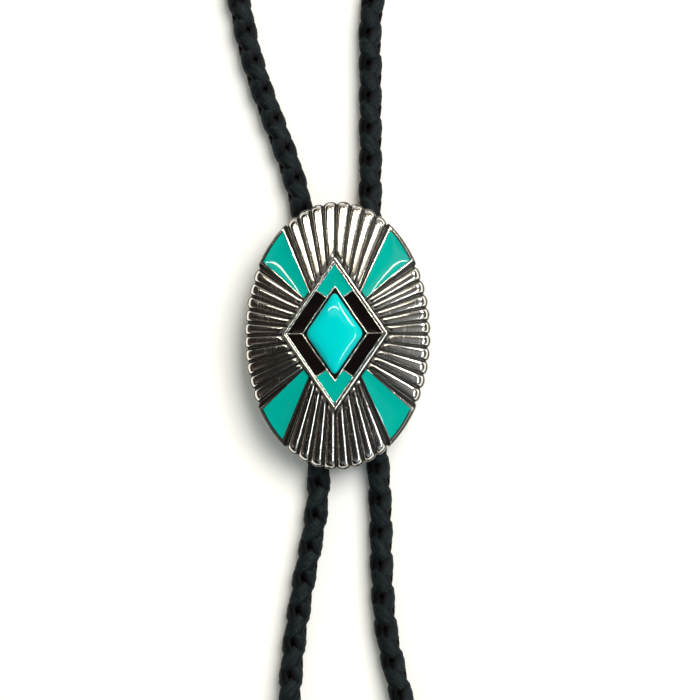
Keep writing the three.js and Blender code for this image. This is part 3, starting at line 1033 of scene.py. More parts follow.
    def face_point(self, column: Column, ring: Ring) -> tuple[float, float, float, float]:
        """Place one point of the face.

        Args:
            column: the line that it lies on.
            ring: the ring that it lies on.

        Returns:
            Its place, and how polished it is.
        """
        plan = self.plan
        inset = ring.at if ring.zone is Zone.RIM else self.nose_end
        point = column.line.at_rim(inset + column.scallop)
        if ring.zone is Zone.FRAME:
            point = column.line.at_frame(ring.at)
        elif ring.zone is Zone.WAY:
            point = point.lerp(column.line.at_frame(plan.wedge_frame + self.approach_stop), ring.at)
        dome = plan.dome_height(point)
        border = dome + plan.border_rise
        foot = plan.back_z + plan.flange_rise - self.nose_foot_drop
        if ring.edge_z is not None:
            return point.x, point.y, ring.edge_z, ring.polish
        if column.ground is Ground.RIB:
            width = (point - column.line.start).length * math.radians(column.pitch)
            rib = dome + self.rib_depth_share * width * column.crest * ring.root
            polish = min(1.0, ring.polish) * column.polish
            return point.x, point.y, blend(foot, rib, ring.nose), polish
        if column.ground is Ground.BORDER:
            rim_share = smooth_step(self.nose_start, 0.34, inset)
            height = blend(foot, blend(dome, border, column.border), rim_share)
            return point.x, point.y, height, column.polish * rim_share
        if ring.zone is Zone.RIM and not ring.walled and ring.at < plan.wedge_rim:
            return point.x, point.y, foot, 0.0
        if ring.walled:
            # A wall's top is polished only in a band. Beside the flange it keeps the black finish as patina in the
            # groove; beside the enamel the black is a painted line of shade along the wall.
            line = smooth_step(0.3, 0.42, ring.at) * (1 - smooth_step(0.45, 0.6, ring.at))
            return point.x, point.y, border, line if ring.zone is Zone.RIM else 0.2
        return point.x, point.y, dome - plan.recess_depth, self.recess_polish

    def add_grid(self, shell: Shell, table: np.ndarray, ends: Point, polish: Point) -> None:
        """Add a round grid that closes over the slide's middle.

        Args:
            shell: what gathers the casting.
            table: each point's place and how polished it is, by column and row.
            ends: the heights at which the first and the last row close.
            polish: how polished the two closing points are.
        """
        points, faces = closed_grid(table[:, :, :3], (0, 0, ends[0]), (0, 0, ends[1]))
        shell.add(points, faces, polish=np.append(table[:, :, 3].ravel(), polish))

    def add_dome(self, shell: Shell) -> None:
        """Add the ribbed dome with its rim and its recesses."""
        columns, rings = self.columns(), self.rings()
        table = np.array([[self.face_point(column, ring) for ring in rings] for column in columns])
        self.add_grid(shell, table, (self.plan.back_z, self.plan.dome_height(Vector((0, 0)))), (0.8, 0.0))

    def add_tray(self, shell: Shell) -> None:
        """Add the diamond frame with its inner line, the cells' floor, the bezel line and the stone's pit."""
        plan = self.plan
        top = plan.back_z + plan.frame_rise
        floor = plan.back_z + plan.floor_rise
        bezel = plan.back_z + plan.divider_rise
        foot = top - self.frame_wall
        # Each row: how far out, how far below the top, what the corners lose, and how polished
        frame_rows = (
            (-0.02, 0.4, 0.35, 0.35), (-0.06, 0.14, 0.34, 0.8), (-0.13, 0.03, 0.32, 0.95), (-0.25, 0, 0.3, 0.9),
            (-0.42, 0.01, 0.28, 0.75), (-0.52, 0.05, 0.26, 0.5), (-0.57, 0.18, 0.25, 0),
        )
        line_rows = (
            (0.22, 0.18, 0.2, 0), (0.19, 0.1, 0.2, 0.6), (0.15, 0.04, 0.2, 1), (0.1, 0.02, 0.18, 1),
            (0.05, 0.04, 0.17, 1), (0, 0.12, 0.15, 0.5),
        )
        # Each row: how far from the bezel's edge, how far below its top, and how polished
        bezel_rows = ((0, 0.16, 0.3), (0.04, 0.06, 0.9), (0.09, 0.01, 1))
        profile = [(plan.frame_outer + 0.03, foot, 0.35, 0.0), (plan.frame_outer + 0.01, top - 0.8, 0.35, 0.0)]
        for offset, rows in ((plan.frame_outer, frame_rows), (plan.frame_inner, line_rows)):
            profile += [(offset + out, top - drop, cut, polish) for out, drop, cut, polish in rows]
        profile += [(plan.frame_inner - 0.01, floor, 0.15, 0.0), (plan.bezel_outer + 0.02, floor, 0.12, 0.0)]
        profile += [(plan.bezel_outer - out, bezel - drop, 0.12, polish) for out, drop, polish in bezel_rows]
        profile += [(plan.bezel_inner + 0.13, bezel, 0.12, 1.0)]
        profile += [(plan.bezel_inner + out, bezel - drop, 0.12, polish) for out, drop, polish in reversed(bezel_rows)]
        profile += [(plan.bezel_inner - 0.02, floor, 0.12, 0.0), (3.0, floor, 0.1, 0.0)]
        side_steps, corner_steps = 16, 6
        rows = []
        for offset, height, cut, polish in profile:
            outline = plan.rounded_diamond(offset, cut, side_steps, corner_steps)
            wobble = self.bezel_wobble if plan.bezel_inner <= offset <= plan.bezel_outer else 0.0
            row = []
            for index, point in enumerate(outline):
                phase = index * 2 * math.pi / len(outline)
                swell = 1 + wobble * (math.sin(5 * phase + 0.7) + 0.6 * math.sin(11 * phase + 2)) / offset
                row.append((point.x * swell, point.y * swell, height, polish))
            rows.append(row)
        self.add_grid(shell, np.array(rows).transpose(1, 0, 2), (foot, floor), (0.0, 0.0))

    def add_divider(self, shell: Shell, start: Vector, end: Vector) -> None:
        """Add one thin divider between two cells, with a rounded top."""
        plan = self.plan
        half = plan.divider_half_width
        top = plan.back_z + plan.divider_rise
        floor = plan.back_z + plan.floor_rise
        beside = (end - start).normalized().orthogonal() * half
        # Each row: the share of the half width, how far below the top, and how polished
        rounding = [(1.0, 0.16, 0.3), (0.75, 0.06, 0.9), (0.35, 0.01, 1.0), (0.0, 0.0, 1.0)]
        left = [(-1.0, floor - 0.1, 0.0)] + [(-side, top - drop, shine) for side, drop, shine in rounding]
        section = left + [(-side, height, shine) for side, height, shine in reversed(left[:-1])]
        grid, polish = [], []
        for side, height, shine in section:
            for middle in (start, end):
                point = middle + beside * side
                grid.append((point.x, point.y, height))
                polish.append(shine)
        points = np.array(grid)
        faces = ring_faces(len(section), 2)
        faces.append(tuple(range(0, len(grid), 2)))
        faces.append(tuple(range(len(grid) - 1, 0, -2)))
        shell.add(points, faces, polish=np.array(polish))

    def add_dividers(self, shell: Shell) -> None:
        """Add the two level dividers and the four beside the chevrons."""
        plan = self.plan
        from_bezel, to_frame = plan.bezel_inner + 0.1, plan.frame_inner + 0.1
        for sign in (-1, 1):
            ends = (Vector((sign * at / plan.side_normal.x, 0)) for at in (from_bezel, to_frame))
            self.add_divider(shell, *ends)
        for quarter in Quarter:
            ends = (plan.beside_side(at, plan.chevron_cut) * Vector(quarter.value) for at in (from_bezel, to_frame))
            self.add_divider(shell, *ends)

    def build(self, material: Material) -> Piece:
        """Build the whole casting as one piece."""
        shell = Shell()
        self.add_dome(shell)
        self.add_tray(shell)
        self.add_dividers(shell)
        return shell.to_object("slide_casting", material, sharp_angle=50)


# Enamel and stone


def distance_to(points: np.ndarray, start: Vector, end: Vector) -> np.ndarray:
    """Measure how far each plan point of a grid lies from a straight wall."""
    first = np.array(start)
    way = np.array(end) - first
    along = np.clip(((points - first) @ way) / (way @ way), 0, 1)
    return np.linalg.norm(points - (first + along[..., None] * way), axis=-1)


def dense_ends(steps: Sequence[float], inner: float, count: int) -> list[float]:
    """List shares from 0 to 1 that lie closer together near the ends.

    Args:
        steps: the shares near the start, which are mirrored at the end.
        inner: where the even shares between them start.
        count: how many even shares there are.

    Returns:
        The shares in order.
    """
    return [*steps, *np.linspace(inner, 1 - inner, count), *(1 - step for step in reversed(steps))]


@dataclass
class EnamelWork:
    """The poured enamel. It stands a little below its walls and sinks between them, as poured enamel does."""

    plan: FacePlan
    wedge_sink: float = 0.42
    wedge_reach: float = 1.25
    cell_sink: float = 0.12
    cell_reach: float = 0.5
    below_wall: float = 0.07
    wall_gap: float = 0.03
    floor_gap: float = 0.02

    def pour(
        self,
        name: str,
        points: np.ndarray,
        heights: tuple[np.ndarray, np.ndarray],
        walls: Sequence[Sequence[Vector]],
        sinking: Point,
        material: Material,
    ) -> Piece:
        """Pour one piece of enamel.

        Args:
            name: the piece's name.
            points: its plan points by column and row.
            heights: how high its top would be without sinking, and its bottom, at each point.
            walls: its walls, each a line of corners that counts as one wall.
            sinking: how deep it sinks far from any wall, and how far from a wall the sinking spreads.
            material: its enamel.

        Returns:
            The new piece.
        """
        sink, reach = sinking
        share = np.ones(points.shape[:2])
        for wall in walls:
            away = np.min([distance_to(points, start, end) for start, end in zip(wall, wall[1:])], axis=0)
            share *= 1 - np.exp(-away / reach)
        top, bottom = heights
        shell = Shell()
        shell.add(*slab(np.dstack([points, top - sink * share]), np.dstack([points, bottom])))
        return shell.to_object(name, material, sharp_angle=60)

    def wedge(self, quarter: Quarter, material: Material) -> Piece:
        """Build the wedge of enamel in one quarter of the face."""
        plan = self.plan
        index = list(Quarter).index(quarter)
        near, far = enamel_edges(plan, plan.fans[index], plan.fans[(index + 1) % len(plan.fans)])
        shares = dense_ends((0.0, 0.012, 0.04, 0.08), 0.12, 20)
        flat = []
        for share in shares:
            line = BetweenLines(near, far, blend(0.006, 0.994, share))
            outer = line.at_rim(plan.wedge_rim + self.wall_gap)
            inner = line.at_frame(plan.wedge_frame + self.wall_gap)
            flat.append([tuple(outer.lerp(inner, way)) for way in shares])
        points = np.array(flat)
        rim = [Vector(point) for point in points[:, 0]]
        straight = [rim[-1], Vector(points[-1, -1]), Vector(points[0, -1]), rim[0]]
        dome = np.array([[plan.dome_height(Vector(point)) for point in row] for row in points])
        heights = dome + plan.border_rise - self.below_wall, dome - plan.recess_depth + self.floor_gap
        walls = [rim, *zip(straight, straight[1:])]
        name = f"enamel_wedge_{quarter.label}"
        return self.pour(name, points, heights, walls, (self.wedge_sink, self.wedge_reach), material)

    def cell(self, name: str, outer: Sequence[Vector], inner: Sequence[Vector], material: Material) -> Piece:
        """Build the enamel of one cell of the diamond frame.

        Args:
            name: the piece's name.
            outer: the corners of its outer side.
            inner: the corners of its inner side, as many.
            material: its enamel.

        Returns:
            The new piece.
        """
        shares = dense_ends((0.0, 0.02, 0.06, 0.12), 0.2, 8)
        flat = []
        for leg in range(len(outer) - 1):
            for step in shares if leg == 0 else shares[1:]:
                here, there = outer[leg].lerp(outer[leg + 1], step), inner[leg].lerp(inner[leg + 1], step)
                flat.append([tuple(here.lerp(there, way)) for way in shares])
        points = np.array(flat)
        level = np.ones(points.shape[:2])
        top = self.plan.back_z + self.plan.divider_rise - self.below_wall
        bottom = self.plan.back_z + self.plan.floor_rise + self.floor_gap
        outline = [*outer, *reversed(inner), outer[0]]
        walls = list(zip(outline, outline[1:]))
        sinking = (self.cell_sink, self.cell_reach)
        return self.pour(name, points, (level * top, level * bottom), walls, sinking, material)

    def panel(self, quarter: Quarter, material: Material) -> Piece:
        """Build one black panel."""
        plan = self.plan
        signs = Vector(quarter.value)
        start = plan.chevron_cut + plan.divider_half_width
        corners = []
        for offset in (plan.frame_inner, plan.bezel_outer):
            end = plan.along_at_height(offset, plan.divider_half_width)
            corners.append([plan.beside_side(offset, along) * signs for along in (start, end)])
        return self.cell(f"enamel_panel_{quarter.label}", *corners, material)

    def chevron(self, end: End, material: Material) -> Piece:
        """Build one teal chevron."""
        plan = self.plan
        cut = plan.chevron_cut - plan.divider_half_width
        sides = []
        for offset in (plan.frame_inner, plan.bezel_outer):
            corner, middle = plan.beside_side(offset, cut), plan.diamond_corners(offset)[1]
            corners = (corner, middle, Vector((-corner.x, corner.y)))
            sides.append([Vector((point.x, end.value * point.y)) for point in corners])
        return self.cell(f"enamel_chevron_{end.name.lower()}", *sides, material)


@dataclass
class StoneCushion:
    """The stone: a diamond with round corners and a full cushion top."""

    plan: FacePlan
    offset: float = 4.64
    corner_cut: float = 1.2
    seat_z: float = 11.15
    girdle_z: float = 11.9
    top_z: float = 13.4
    side_steps: int = 14
    corner_steps: int = 10
    rings: int = 26
    fullness: float = 4.0
    crown_power: float = 0.6

    def build(self, material: Material) -> Piece:
        """Build the stone."""
        profile = [(0.97, self.seat_z), (1.0, self.seat_z + 0.15), (1.0, self.girdle_z)]
        for step in range(1, self.rings):
            share = math.cos(step / self.rings * math.pi / 2) ** 0.8
            rise = (1 - share**self.fullness) ** self.crown_power
            profile.append((share, blend(self.girdle_z, self.top_z, rise)))
        right, top = self.plan.diamond_corners(1)[:2]
        rows = []
        for share, height in profile:
            offset = self.offset * share
            side = offset * (right - top).length
            round_share = blend(0.5, self.corner_cut / side, min(1.0, share) ** 3)
            outline = self.plan.rounded_diamond(offset, side * round_share, self.side_steps, self.corner_steps)
            rows.append([(point.x, point.y, height) for point in outline])
        grid = np.array(rows).transpose(1, 0, 2)
        shell = Shell()
        shell.add(*closed_grid(grid, (0, 0, self.seat_z), (0, 0, self.top_z)))
        return shell.to_object("stone_cushion", material, sharp_angle=70)


# The cord


class CordPart(Enum):
    """The three stretches of the one cord."""

    NECK_LOOP = "neck_loop"
    LEFT_END = "cord_end_left"
    RIGHT_END = "cord_end_right"


# Routes in plan, in millimetres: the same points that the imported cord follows.
CORD_PLANS: dict[CordPart, tuple[Point, ...]] = {
    CordPart.NECK_LOOP: (
        (-6.2, 0.15), (-6.2, 9), (-6.8, 17), (-7.65, 25.4), (-10.1, 34.2), (-12.95, 42), (-15.85, 49.8),
        (-18.25, 57.6), (-19.95, 65.5), (-24.1, 81.5), (-33, 105), (-49, 136), (-67, 169), (-82, 206),
        (-85, 245), (-71, 282), (-40, 307), (0, 315), (40, 306), (70, 281), (83, 245), (79, 206), (63, 168),
        (43, 134), (24, 106), (11.4, 83.5), (6.3, 65.5), (5.95, 50), (5.95, 36), (5.95, 24.9), (6.2, 9),
        (6.2, 0.15),
    ),
    CordPart.LEFT_END: (
        (-6.2, -0.15), (-6.2, -9), (-5.5, -17.5), (-4.25, -27), (-5.05, -36.3), (-7.25, -48), (-9.05, -59.8),
        (-9.75, -68.6), (-9.85, -75),
    ),
    CordPart.RIGHT_END: (
        (6.2, -0.15), (6.2, -9), (6.7, -17.5), (7.55, -27), (7.9, -36.3), (8.05, -45.1), (8.95, -56.8),
        (11.65, -68.6), (13.75, -75),
    ),
}


@dataclass(frozen=True)
class CordLie:
    """The heights of the cord's centre line: level in the clip, on the table beyond, and up into the tips."""

    diameter: float = 4.4
    table_z: float = 2.22
    clip_z: float = 3.3
    tip_z: float = 2.9
    clip_end: float = 11.0
    table_from: float = 36.0
    tip_rise_from: float = 60.0
    tip_mouth: float = 73.0

    def height(self, y: float) -> float:
        """Find the centre line's height at a place up or down the tie."""
        fall = smooth_step(self.clip_end, self.table_from, abs(y))
        rise = smooth_step(self.tip_rise_from, self.tip_mouth, -y)
        return blend(self.clip_z, self.table_z, fall) + (self.tip_z - self.table_z) * rise


class Route:
    """A smooth line through the points of a plan, at the cord's heights."""

    STEPS = 40

    def __init__(self, plan: Sequence[Point], lie: CordLie) -> None:
        """Draw the line as a centripetal spline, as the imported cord's is."""
        flat = [np.array(point, float) for point in plan]
        flat = [2 * flat[0] - flat[1], *flat, 2 * flat[-1] - flat[-2]]
        line = [flat[1]]
        for index in range(1, len(flat) - 2):
            line.extend(self.leg(flat[index - 1 : index + 3]))
        self.points = np.array([(x, y, lie.height(y)) for x, y in line])

    def leg(self, four: Sequence[np.ndarray]) -> list[np.ndarray]:
        """Draw the leg between the middle two of four points."""
        before, start, end, after = four
        gap_0, gap_1, gap_2 = (math.sqrt(np.linalg.norm(b - a)) for a, b in zip(four, four[1:]))
        slope_start = ((start - before) / gap_0 - (end - before) / (gap_0 + gap_1) + (end - start) / gap_1) * gap_1
        slope_end = ((end - start) / gap_1 - (after - start) / (gap_1 + gap_2) + (after - end) / gap_2) * gap_1
        made = []
        for step in range(1, self.STEPS + 1):
            t = step / self.STEPS
            bend = (2 * t**3 - 3 * t**2 + 1) * start + (3 * t**2 - 2 * t**3) * end
            made.append(bend + (t**3 - 2 * t**2 + t) * slope_start + (t**3 - t**2) * slope_end)
        return made

    def extended(self, length: float) -> np.ndarray:
        """Lengthen the line level and straight past its end, and return its points."""
        way = self.points[-1] - self.points[-2]
        way[2] = 0
        return np.vstack([self.points, self.points[-1] + way / np.linalg.norm(way) * length])


def even_stations(points: np.ndarray, step: float) -> tuple[np.ndarray, np.ndarray]:
    """Place even stations along a line.

    Args:
        points: the line.
        step: the rough distance between stations.

    Returns:
        The stations' places, and how far along each one is.
    """
    run = np.append(0, np.cumsum(np.linalg.norm(np.diff(points, axis=0), axis=1)))
    along = np.linspace(0, run[-1], max(2, round(run[-1] / step)) + 1)
    return np.column_stack([np.interp(along, run, points[:, axis]) for axis in range(3)]), along


@dataclass
class RoundBraid:
    """A round braid of four soft strands, two wound each way, each over one and under one."""

    pitch: float = 12.6
    lay_radius: float = 1.52
    weave: float = 0.23
    weave_flatness: float = 1.5
    half_thickness: float = 0.6
    half_spread: float = 78.0
    dwell: float = 0.2
    section: tuple[float, ...] = (-30, 0, 18, 36, 56, 78, 102, 124, 144, 162, 180, 210, 270)
    strand_unevenness: float = 0.06

    def add_strand(
        self, shell: Shell, places: np.ndarray, along: np.ndarray, hand: int, start: float, twist: Point
    ) -> None:
        """Add one strand.

        Args:
            shell: what gathers the strands.
            places: stations along the cord's centre line.
            along: how far along each station is.
            hand: 1 for a strand that winds anticlockwise, and −1 for the other way.
            start: the strand's first angle, in degrees.
            twist: the whole braid's turn on its own line at its start and its end, in degrees.
        """
        ways = np.gradient(places, axis=0)
        ways /= np.linalg.norm(ways, axis=1)[:, None]
        beside = np.cross((0, 0, 1), ways)
        beside /= np.linalg.norm(beside, axis=1)[:, None]
        above = np.cross(ways, beside)
        even_turn = hand * 2 * math.pi * along / self.pitch + math.radians(start)
        turn = even_turn - hand * self.dwell * np.sin(2 * even_turn)
        wave = np.tanh(self.weave_flatness * np.cos(2 * turn)) / math.tanh(self.weave_flatness)
        lay = self.lay_radius + hand * self.weave * wave
        set_round = np.radians(np.interp(along, (0, along[-1]), twist))
        slow = along * 2 * math.pi
        swell = 1 + self.strand_unevenness * np.sin(slow / 41 + start + hand) * np.sin(slow / 17 + 2 * start)
        rows, across, crease = [], [], []
        for angle in self.section:
            phi = math.radians(angle)
            reach = math.radians(self.half_spread) * math.cos(phi)
            radius = lay + self.half_thickness * swell * math.sin(phi)
            direction = turn + set_round + reach
            rows.append(
                places + (radius * np.cos(direction))[:, None] * beside + (radius * np.sin(direction))[:, None] * above
            )
            across.append(np.full(len(along), reach * self.lay_radius + start))
            # How near each point lies to the strand's edge, and 1 on its underside; the finish paints shade there.
            crease.append(np.full(len(along), abs(math.cos(phi)) if phi > 0 else 1.0))
        grid = np.array(rows)
        faces = ring_faces(len(self.section), len(along))
        faces.append(tuple(column * len(along) for column in range(len(self.section))))
        faces.append(tuple(column * len(along) + len(along) - 1 for column in reversed(range(len(self.section)))))
        shell.add(
            grid.reshape(-1, 3),
            faces,
            along=np.tile(along, len(self.section)),
            across=np.concatenate(across),
            crease=np.concatenate(crease),
        )

    def build(self, name: str, points: np.ndarray, step: float, twist: Point, material: Material) -> Piece:
        """Build a stretch of braid.

        Args:
            name: the piece's name.
            points: the centre line, in millimetres.
            step: the distance between the strands' sections.
            twist: the whole braid's turn on its own line at its start and its end, in degrees.
            material: the strands' finish.

        Returns:
            The new piece.
        """
        places, along = even_stations(points, step)
        shell = Shell()
        for hand in (1, -1):
            for start in (0.0, 180.0):
                self.add_strand(shell, places, along, hand, start, twist)
        return shell.to_object(name, material, sharp_angle=80)


@dataclass
class CordTip:
    """A plain metal tip: a hollow sleeve with a collar, two turned lines, a long taper and a round nose."""

    radius: float = 2.9
    bore: float = 2.36
    length: float = 33.0
    bore_depth: float = 5.0
    collar_step: float = 0.25
    taper: float = 0.45
    nose: float = 3.0
    sides: int = 56

    def profile(self) -> list[Point]:
        """List the tip's profile as radius and distance from its mouth, from the bore's end round to the nose."""
        barrel = self.radius - self.collar_step
        made = [(self.bore, self.bore_depth), (self.bore, 0.3), (self.bore + 0.06, 0.08), (self.bore + 0.18, 0.0)]
        made += [(self.radius - 0.14, 0.0), (self.radius - 0.04, 0.1), (self.radius, 0.3), (self.radius, 1.3)]
        made += [(self.radius - 0.05, 1.5), (self.radius - 0.16, 1.62), (barrel - 0.1, 1.7), (barrel - 0.1, 1.9)]
        for line in (2.6, 3.4):
            made += [(barrel, line - 0.3), (barrel, line - 0.1), (barrel - 0.09, line), (barrel - 0.09, line + 0.1)]
            made += [(barrel, line + 0.2)]
        taper_start, taper_end = self.length * 0.55, self.length - self.nose
        made += [(barrel, 8.0), (barrel, taper_start - 2)]
        for step in range(1, 9):
            share = step / 8
            made.append((barrel - self.taper * share**1.6, blend(taper_start, taper_end, share)))
        nose_radius = barrel - self.taper
        for step in range(1, 10):
            turn = step / 10 * math.pi / 2
            made.append((nose_radius * math.cos(turn) ** 0.8, taper_end + self.nose * math.sin(turn)))
        return made

    def build(self, name: str, mouth: np.ndarray, way: np.ndarray, material: Material) -> Piece:
        """Build a tip.

        Args:
            name: the piece's name.
            mouth: the middle of its mouth.
            way: the level direction that it points.
            material: its finish.

        Returns:
            The new piece.
        """
        beside = np.array((-way[1], way[0], 0.0))
        above = np.array((0.0, 0.0, 1.0))
        grid = []
        for side in range(self.sides):
            turn = side * 2 * math.pi / self.sides
            spoke = beside * math.cos(turn) + above * math.sin(turn)
            grid.append([mouth + spoke * radius + way * distance for radius, distance in self.profile()])
        shell = Shell()
        shell.add(*closed_grid(np.array(grid), mouth + way * self.bore_depth, mouth + way * self.length))
        return shell.to_object(name, material, sharp_angle=45)


@dataclass
class BraidedCord:
    """The whole cord: the neck loop and the two free ends with their tips."""

    lie: CordLie = field(default_factory=CordLie)
    braid: RoundBraid = field(default_factory=RoundBraid)
    tip: CordTip = field(default_factory=CordTip)
    seat_gap: float = 0.3
    into_tip: float = 2.6
    loop_step: float = 0.6
    end_step: float = 0.36
    loop_twist: Point = (30.0, 12.0)
    end_twists: tuple[Point, Point] = ((90.0, 96.0), (12.0, 6.0))

    def build(self, strand: Material, plate: Material) -> None:
        """Build the cord and its tips, and log each piece's triangles."""
        loop = Route(CORD_PLANS[CordPart.NECK_LOOP], self.lie)
        piece = self.braid.build("braid_neck_loop", loop.points, self.loop_step, self.loop_twist, strand)
        add_piece(piece, "black_braid", CordPart.NECK_LOOP.value)
        ends = ((CordPart.LEFT_END, "left"), (CordPart.RIGHT_END, "right"))
        for (part, side), twist in zip(ends, self.end_twists):
            self.build_end(part, side, twist, strand, plate)

    def build_end(self, part: CordPart, side: str, twist: Point, strand: Material, plate: Material) -> None:
        """Build one free end and its tip.

        Args:
            part: the stretch of cord.
            side: left or right.
            twist: the braid's turn on its own line at its start and its end, in degrees.
            strand: the strands' finish.
            plate: the tip's finish.
        """
        route = Route(CORD_PLANS[part], self.lie)
        points = route.extended(self.into_tip)
        piece = self.braid.build(f"braid_end_{side}", points, self.end_step, twist, strand)
        add_piece(piece, "black_braid", part.value)
        way = points[-1] - points[-2]
        way /= np.linalg.norm(way)
        mouth = route.points[-1] + way * self.seat_gap
        mouth[2] = self.tip.radius
        tip = self.tip.build(f"cord_tip_{side}", mouth, way, plate)
        add_piece(tip, "plated_metal", f"tip_{side}")


def add_piece(piece: Piece, slot: str, *nodes: str) -> None:
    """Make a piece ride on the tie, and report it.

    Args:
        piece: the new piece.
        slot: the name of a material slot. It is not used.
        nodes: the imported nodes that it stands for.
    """
    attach(piece, BODY)
    if nodes:
        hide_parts(*nodes)
    triangles = sum(len(face.vertices) - 2 for face in piece.data.polygons)
    log.info("%s: %d triangles", piece.name, triangles)


# The studio


class LightUse(Enum):
    """What a light is for: the even shading of everything, or the glints on what is shiny."""

    SHADING = "shading"
    GLINTS = "glints"


@dataclass(frozen=True)
class CeilingLight:
    """A flat light over the slide that faces straight down.

    Its place and its half sizes are level distances for each metre of height over the slide.
    """

    name: str
    use: LightUse
    across: float
    up: float
    half_across: float
    half_up: float
    brightness: float
    colour: Colour
    height: float = 0.6

    def build(self, target: Vector) -> None:
        """Add the light over a target."""
        light = bpy.data.lights.new(self.name, "AREA")
        light.shape = "RECTANGLE"
        light.size, light.size_y = 2 * self.half_across * self.height, 2 * self.half_up * self.height
        light.energy = self.brightness * math.pi * light.size * light.size_y
        light.color = self.colour
        made = new_object(self.name, light)
        made.location = target + Vector((self.across, self.up, 1.0)) * self.height
        made.visible_camera = False
        made.visible_diffuse = self.use is LightUse.SHADING
        made.visible_glossy = self.use is LightUse.GLINTS


@dataclass(frozen=True)
class RoomCard:
    """A part of the room that shiny pieces reflect, by the ranges of X and Y of the way towards it."""

    across: Point
    up: Point
    soft: float
    brightness: float
    colour: Colour

    def share(self, graph: Graph, x: Any, y: Any) -> Socket:
        """Work out how much of the card a way meets, and return the socket."""
        share = None
        for way, (low, high) in ((x, self.across), (y, self.up)):
            enter = graph.rise(way, low - self.soft, low + self.soft)
            leave = graph.rise(way, high + self.soft, high - self.soft)
            inside = graph.math("MULTIPLY", enter, leave)
            share = inside if share is None else graph.math("MULTIPLY", share, inside)
        return share

    def paint(self) -> tuple[float, float, float, float]:
        """Return the card's colour at its brightness."""
        return opaque(tuple(part * self.brightness for part in self.colour))


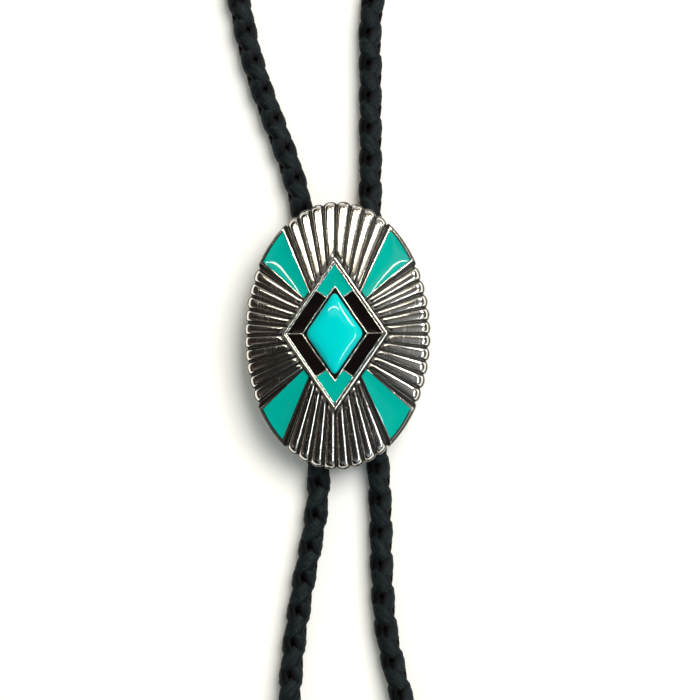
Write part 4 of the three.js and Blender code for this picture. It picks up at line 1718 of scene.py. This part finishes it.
@dataclass
class Studio:
    """A pale table under soft light, seen from straight above as the photograph is."""

    photo_side: int = 700
    slide_pixel: Point = (337.2, 333.8)
    pixel: float = 0.1926
    face_z: float = 8.4
    camera_distance: float = 400.0
    sensor: float = 36.0
    lean_right: float = 6.5
    lean_down: float = 4.0
    table_size: float = 6.0
    table_gap: float = 0.14
    ambient: float = 0.48
    cool: Colour = (0.62, 0.86, 1.0)
    warm: Colour = (1.0, 0.90, 0.72)
    cool_to_warm: Point = (-0.55, 0.0)
    backdrop: Colour = (0.93, 0.93, 0.93)
    unlit: Colour = (0.008, 0.007, 0.007)
    lights: tuple[CeilingLight, ...] = (
        CeilingLight("window", LightUse.SHADING, 0.64, 0.40, 0.44, 0.44, 9.6, (1.0, 0.98, 0.94), height=1.2),
        CeilingLight("top_strip", LightUse.GLINTS, -0.15, 0.55, 0.42, 0.024, 32.0, (1.0, 0.95, 0.84)),
        CeilingLight("right_strip", LightUse.GLINTS, 0.90, -0.45, 0.06, 0.50, 34.0, (0.90, 0.97, 1.0)),
        CeilingLight("far_window", LightUse.GLINTS, 0.92, 0.92, 0.22, 0.28, 32.0, (1.0, 0.99, 0.96)),
    )
    cards: tuple[RoomCard, ...] = (
        RoomCard((-0.32, 0.24), (0.26, 0.55), 0.07, 0.96, (1.0, 0.93, 0.74)),
        RoomCard((-0.30, 0.45), (0.58, 0.80), 0.06, 0.22, (1.0, 0.93, 0.80)),
        RoomCard((0.24, 0.50), (-0.38, 0.12), 0.06, 0.17, (1.0, 0.97, 1.0)),
        RoomCard((0.54, 0.90), (-0.60, 0.20), 0.08, 0.22, (0.97, 0.98, 1.0)),
        RoomCard((-0.20, 0.35), (-0.66, -0.46), 0.06, 0.22, (0.74, 0.92, 1.0)),
        RoomCard((0.15, 0.60), (-0.86, -0.68), 0.05, 0.40, (0.86, 0.96, 1.0)),
        RoomCard((-0.66, -0.46), (-0.50, -0.36), 0.05, 0.40, (1.0, 0.92, 0.90)),
        RoomCard((-0.86, -0.54), (-0.36, -0.10), 0.06, 0.11, (1.0, 0.70, 0.56)),
        RoomCard((-0.96, -0.80), (-0.05, 0.35), 0.05, 0.07, (1.0, 0.84, 0.72)),
        RoomCard((-0.70, 0.70), (0.86, 1.10), 0.05, 0.60, (1.0, 0.96, 0.88)),
    )

    def target(self) -> Vector:
        """Find the point of the slide's plane that the picture's middle shows, in metres."""
        middle = self.photo_side / 2
        across = (middle - self.slide_pixel[0]) * self.pixel
        up = (self.slide_pixel[1] - middle) * self.pixel
        return Vector((across, up, self.face_z)) * MM

    def add_camera(self) -> None:
        """Add the camera over the slide, with the picture's width at the slide's plane."""
        data = bpy.data.cameras.new("camera")
        data.sensor_width = self.sensor
        data.lens = self.sensor * self.camera_distance / (self.photo_side * self.pixel)
        data.clip_start = 0.01
        camera = new_object("camera", data)
        right, down = math.radians(self.lean_right), math.radians(self.lean_down)
        back = Vector((math.tan(right), -math.tan(down), 1.0)).normalized()
        camera.location = self.target() + back * self.camera_distance * MM
        camera.rotation_euler = (math.atan2(-back.y, back.z), math.asin(back.x), 0)
        bpy.context.scene.camera = camera

    def add_table(self, material: Material) -> None:
        """Add the table, just under the clip and the cord."""
        half = self.table_size / 2
        level = -self.table_gap * MM
        mesh = bpy.data.meshes.new("table")
        corners = [(-half, -half, level), (half, -half, level), (half, half, level), (-half, half, level)]
        mesh.from_pydata(corners, [], [(0, 1, 2, 3)])
        mesh.materials.append(material)
        new_object("table", mesh)

    def add_world(self) -> None:
        """Add the room: an even light for the shading, and its own cards for what shiny pieces reflect."""
        world = bpy.data.worlds.new("room")
        world.use_nodes = True
        graph = Graph(world.node_tree)
        way = graph.add("ShaderNodeTexCoord").outputs["Generated"]
        parts = graph.add("ShaderNodeSeparateXYZ", {0: way}).outputs
        seen = opaque(self.unlit)
        for card in self.cards:
            seen = graph.mix_colour(card.share(graph, parts["X"], parts["Y"]), seen, card.paint())
        cool, warm = (opaque(tuple(part * self.ambient for part in tint)) for tint in (self.cool, self.warm))
        even = graph.mix_colour(graph.rise(parts["Y"], *self.cool_to_warm), cool, warm)
        rays = graph.add("ShaderNodeLightPath").outputs
        colour = graph.mix_colour(rays["Is Glossy Ray"], even, seen)
        colour = graph.mix_colour(rays["Is Camera Ray"], colour, opaque(self.backdrop))
        graph.feed(world.node_tree.nodes["Background"], color=colour, strength=1.0)
        bpy.context.scene.world = world

    def build(self) -> None:
        """Build the camera, the table, the room and its lights."""
        self.add_camera()
        self.add_table(PaleTable().material())
        self.add_world()
        for light in self.lights:
            light.build(self.target())
        bpy.context.scene.view_settings.view_transform = "Standard"


def dress_node(frame: dict, name: str, material: Material) -> None:
    """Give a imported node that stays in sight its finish.

    Args:
        name: the node.
        material: the finish.
    """
    materials = frame["nodes"][name].data.materials
    materials.clear()
    materials.append(material)
    log.info("%s: dressed in %s", name, material.name)


def main() -> None:
    """Build every piece in order."""
    logging.basicConfig(level=logging.INFO, format="%(message)s")
    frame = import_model()
    Studio().build()

    silver = AntiquedSilver().material()
    plate = NickelPlate().material()
    strand = SoftStrand().material()
    teal = GlossyInlay(name="teal_enamel", colour=(0.0, 0.335, 0.275), shade=(0.0, 0.295, 0.25)).material()
    black = GlossyInlay(name="black_enamel", colour=(0.004, 0.003, 0.003), shade=(0.010, 0.005, 0.004)).material()
    stone = GlossyInlay(
        name="turquoise_stone", colour=(0.0, 0.53, 0.53), shade=(0.0, 0.47, 0.49), grain_depth=0.002
    ).material()

    BraidedCord().build(strand, plate)
    dress_node(frame, "cord_clip", plate)

    plan = FacePlan.from_frame()
    add_piece(CastSlide(plan).build(silver), "antiqued_silver", "slide_body")
    enamel = EnamelWork(plan)
    for quarter in Quarter:
        add_piece(enamel.wedge(quarter, teal), "teal_enamel", f"wedge_{quarter.label}")
        add_piece(enamel.panel(quarter, black), "black_enamel", f"panel_{quarter.label}")
    for end in End:
        add_piece(enamel.chevron(end, teal), "teal_enamel", f"chevron_{end.name.lower()}")
    add_piece(StoneCushion(plan).build(stone), "turquoise_stone", "cabochon")


if __name__ == "__main__":
    main()
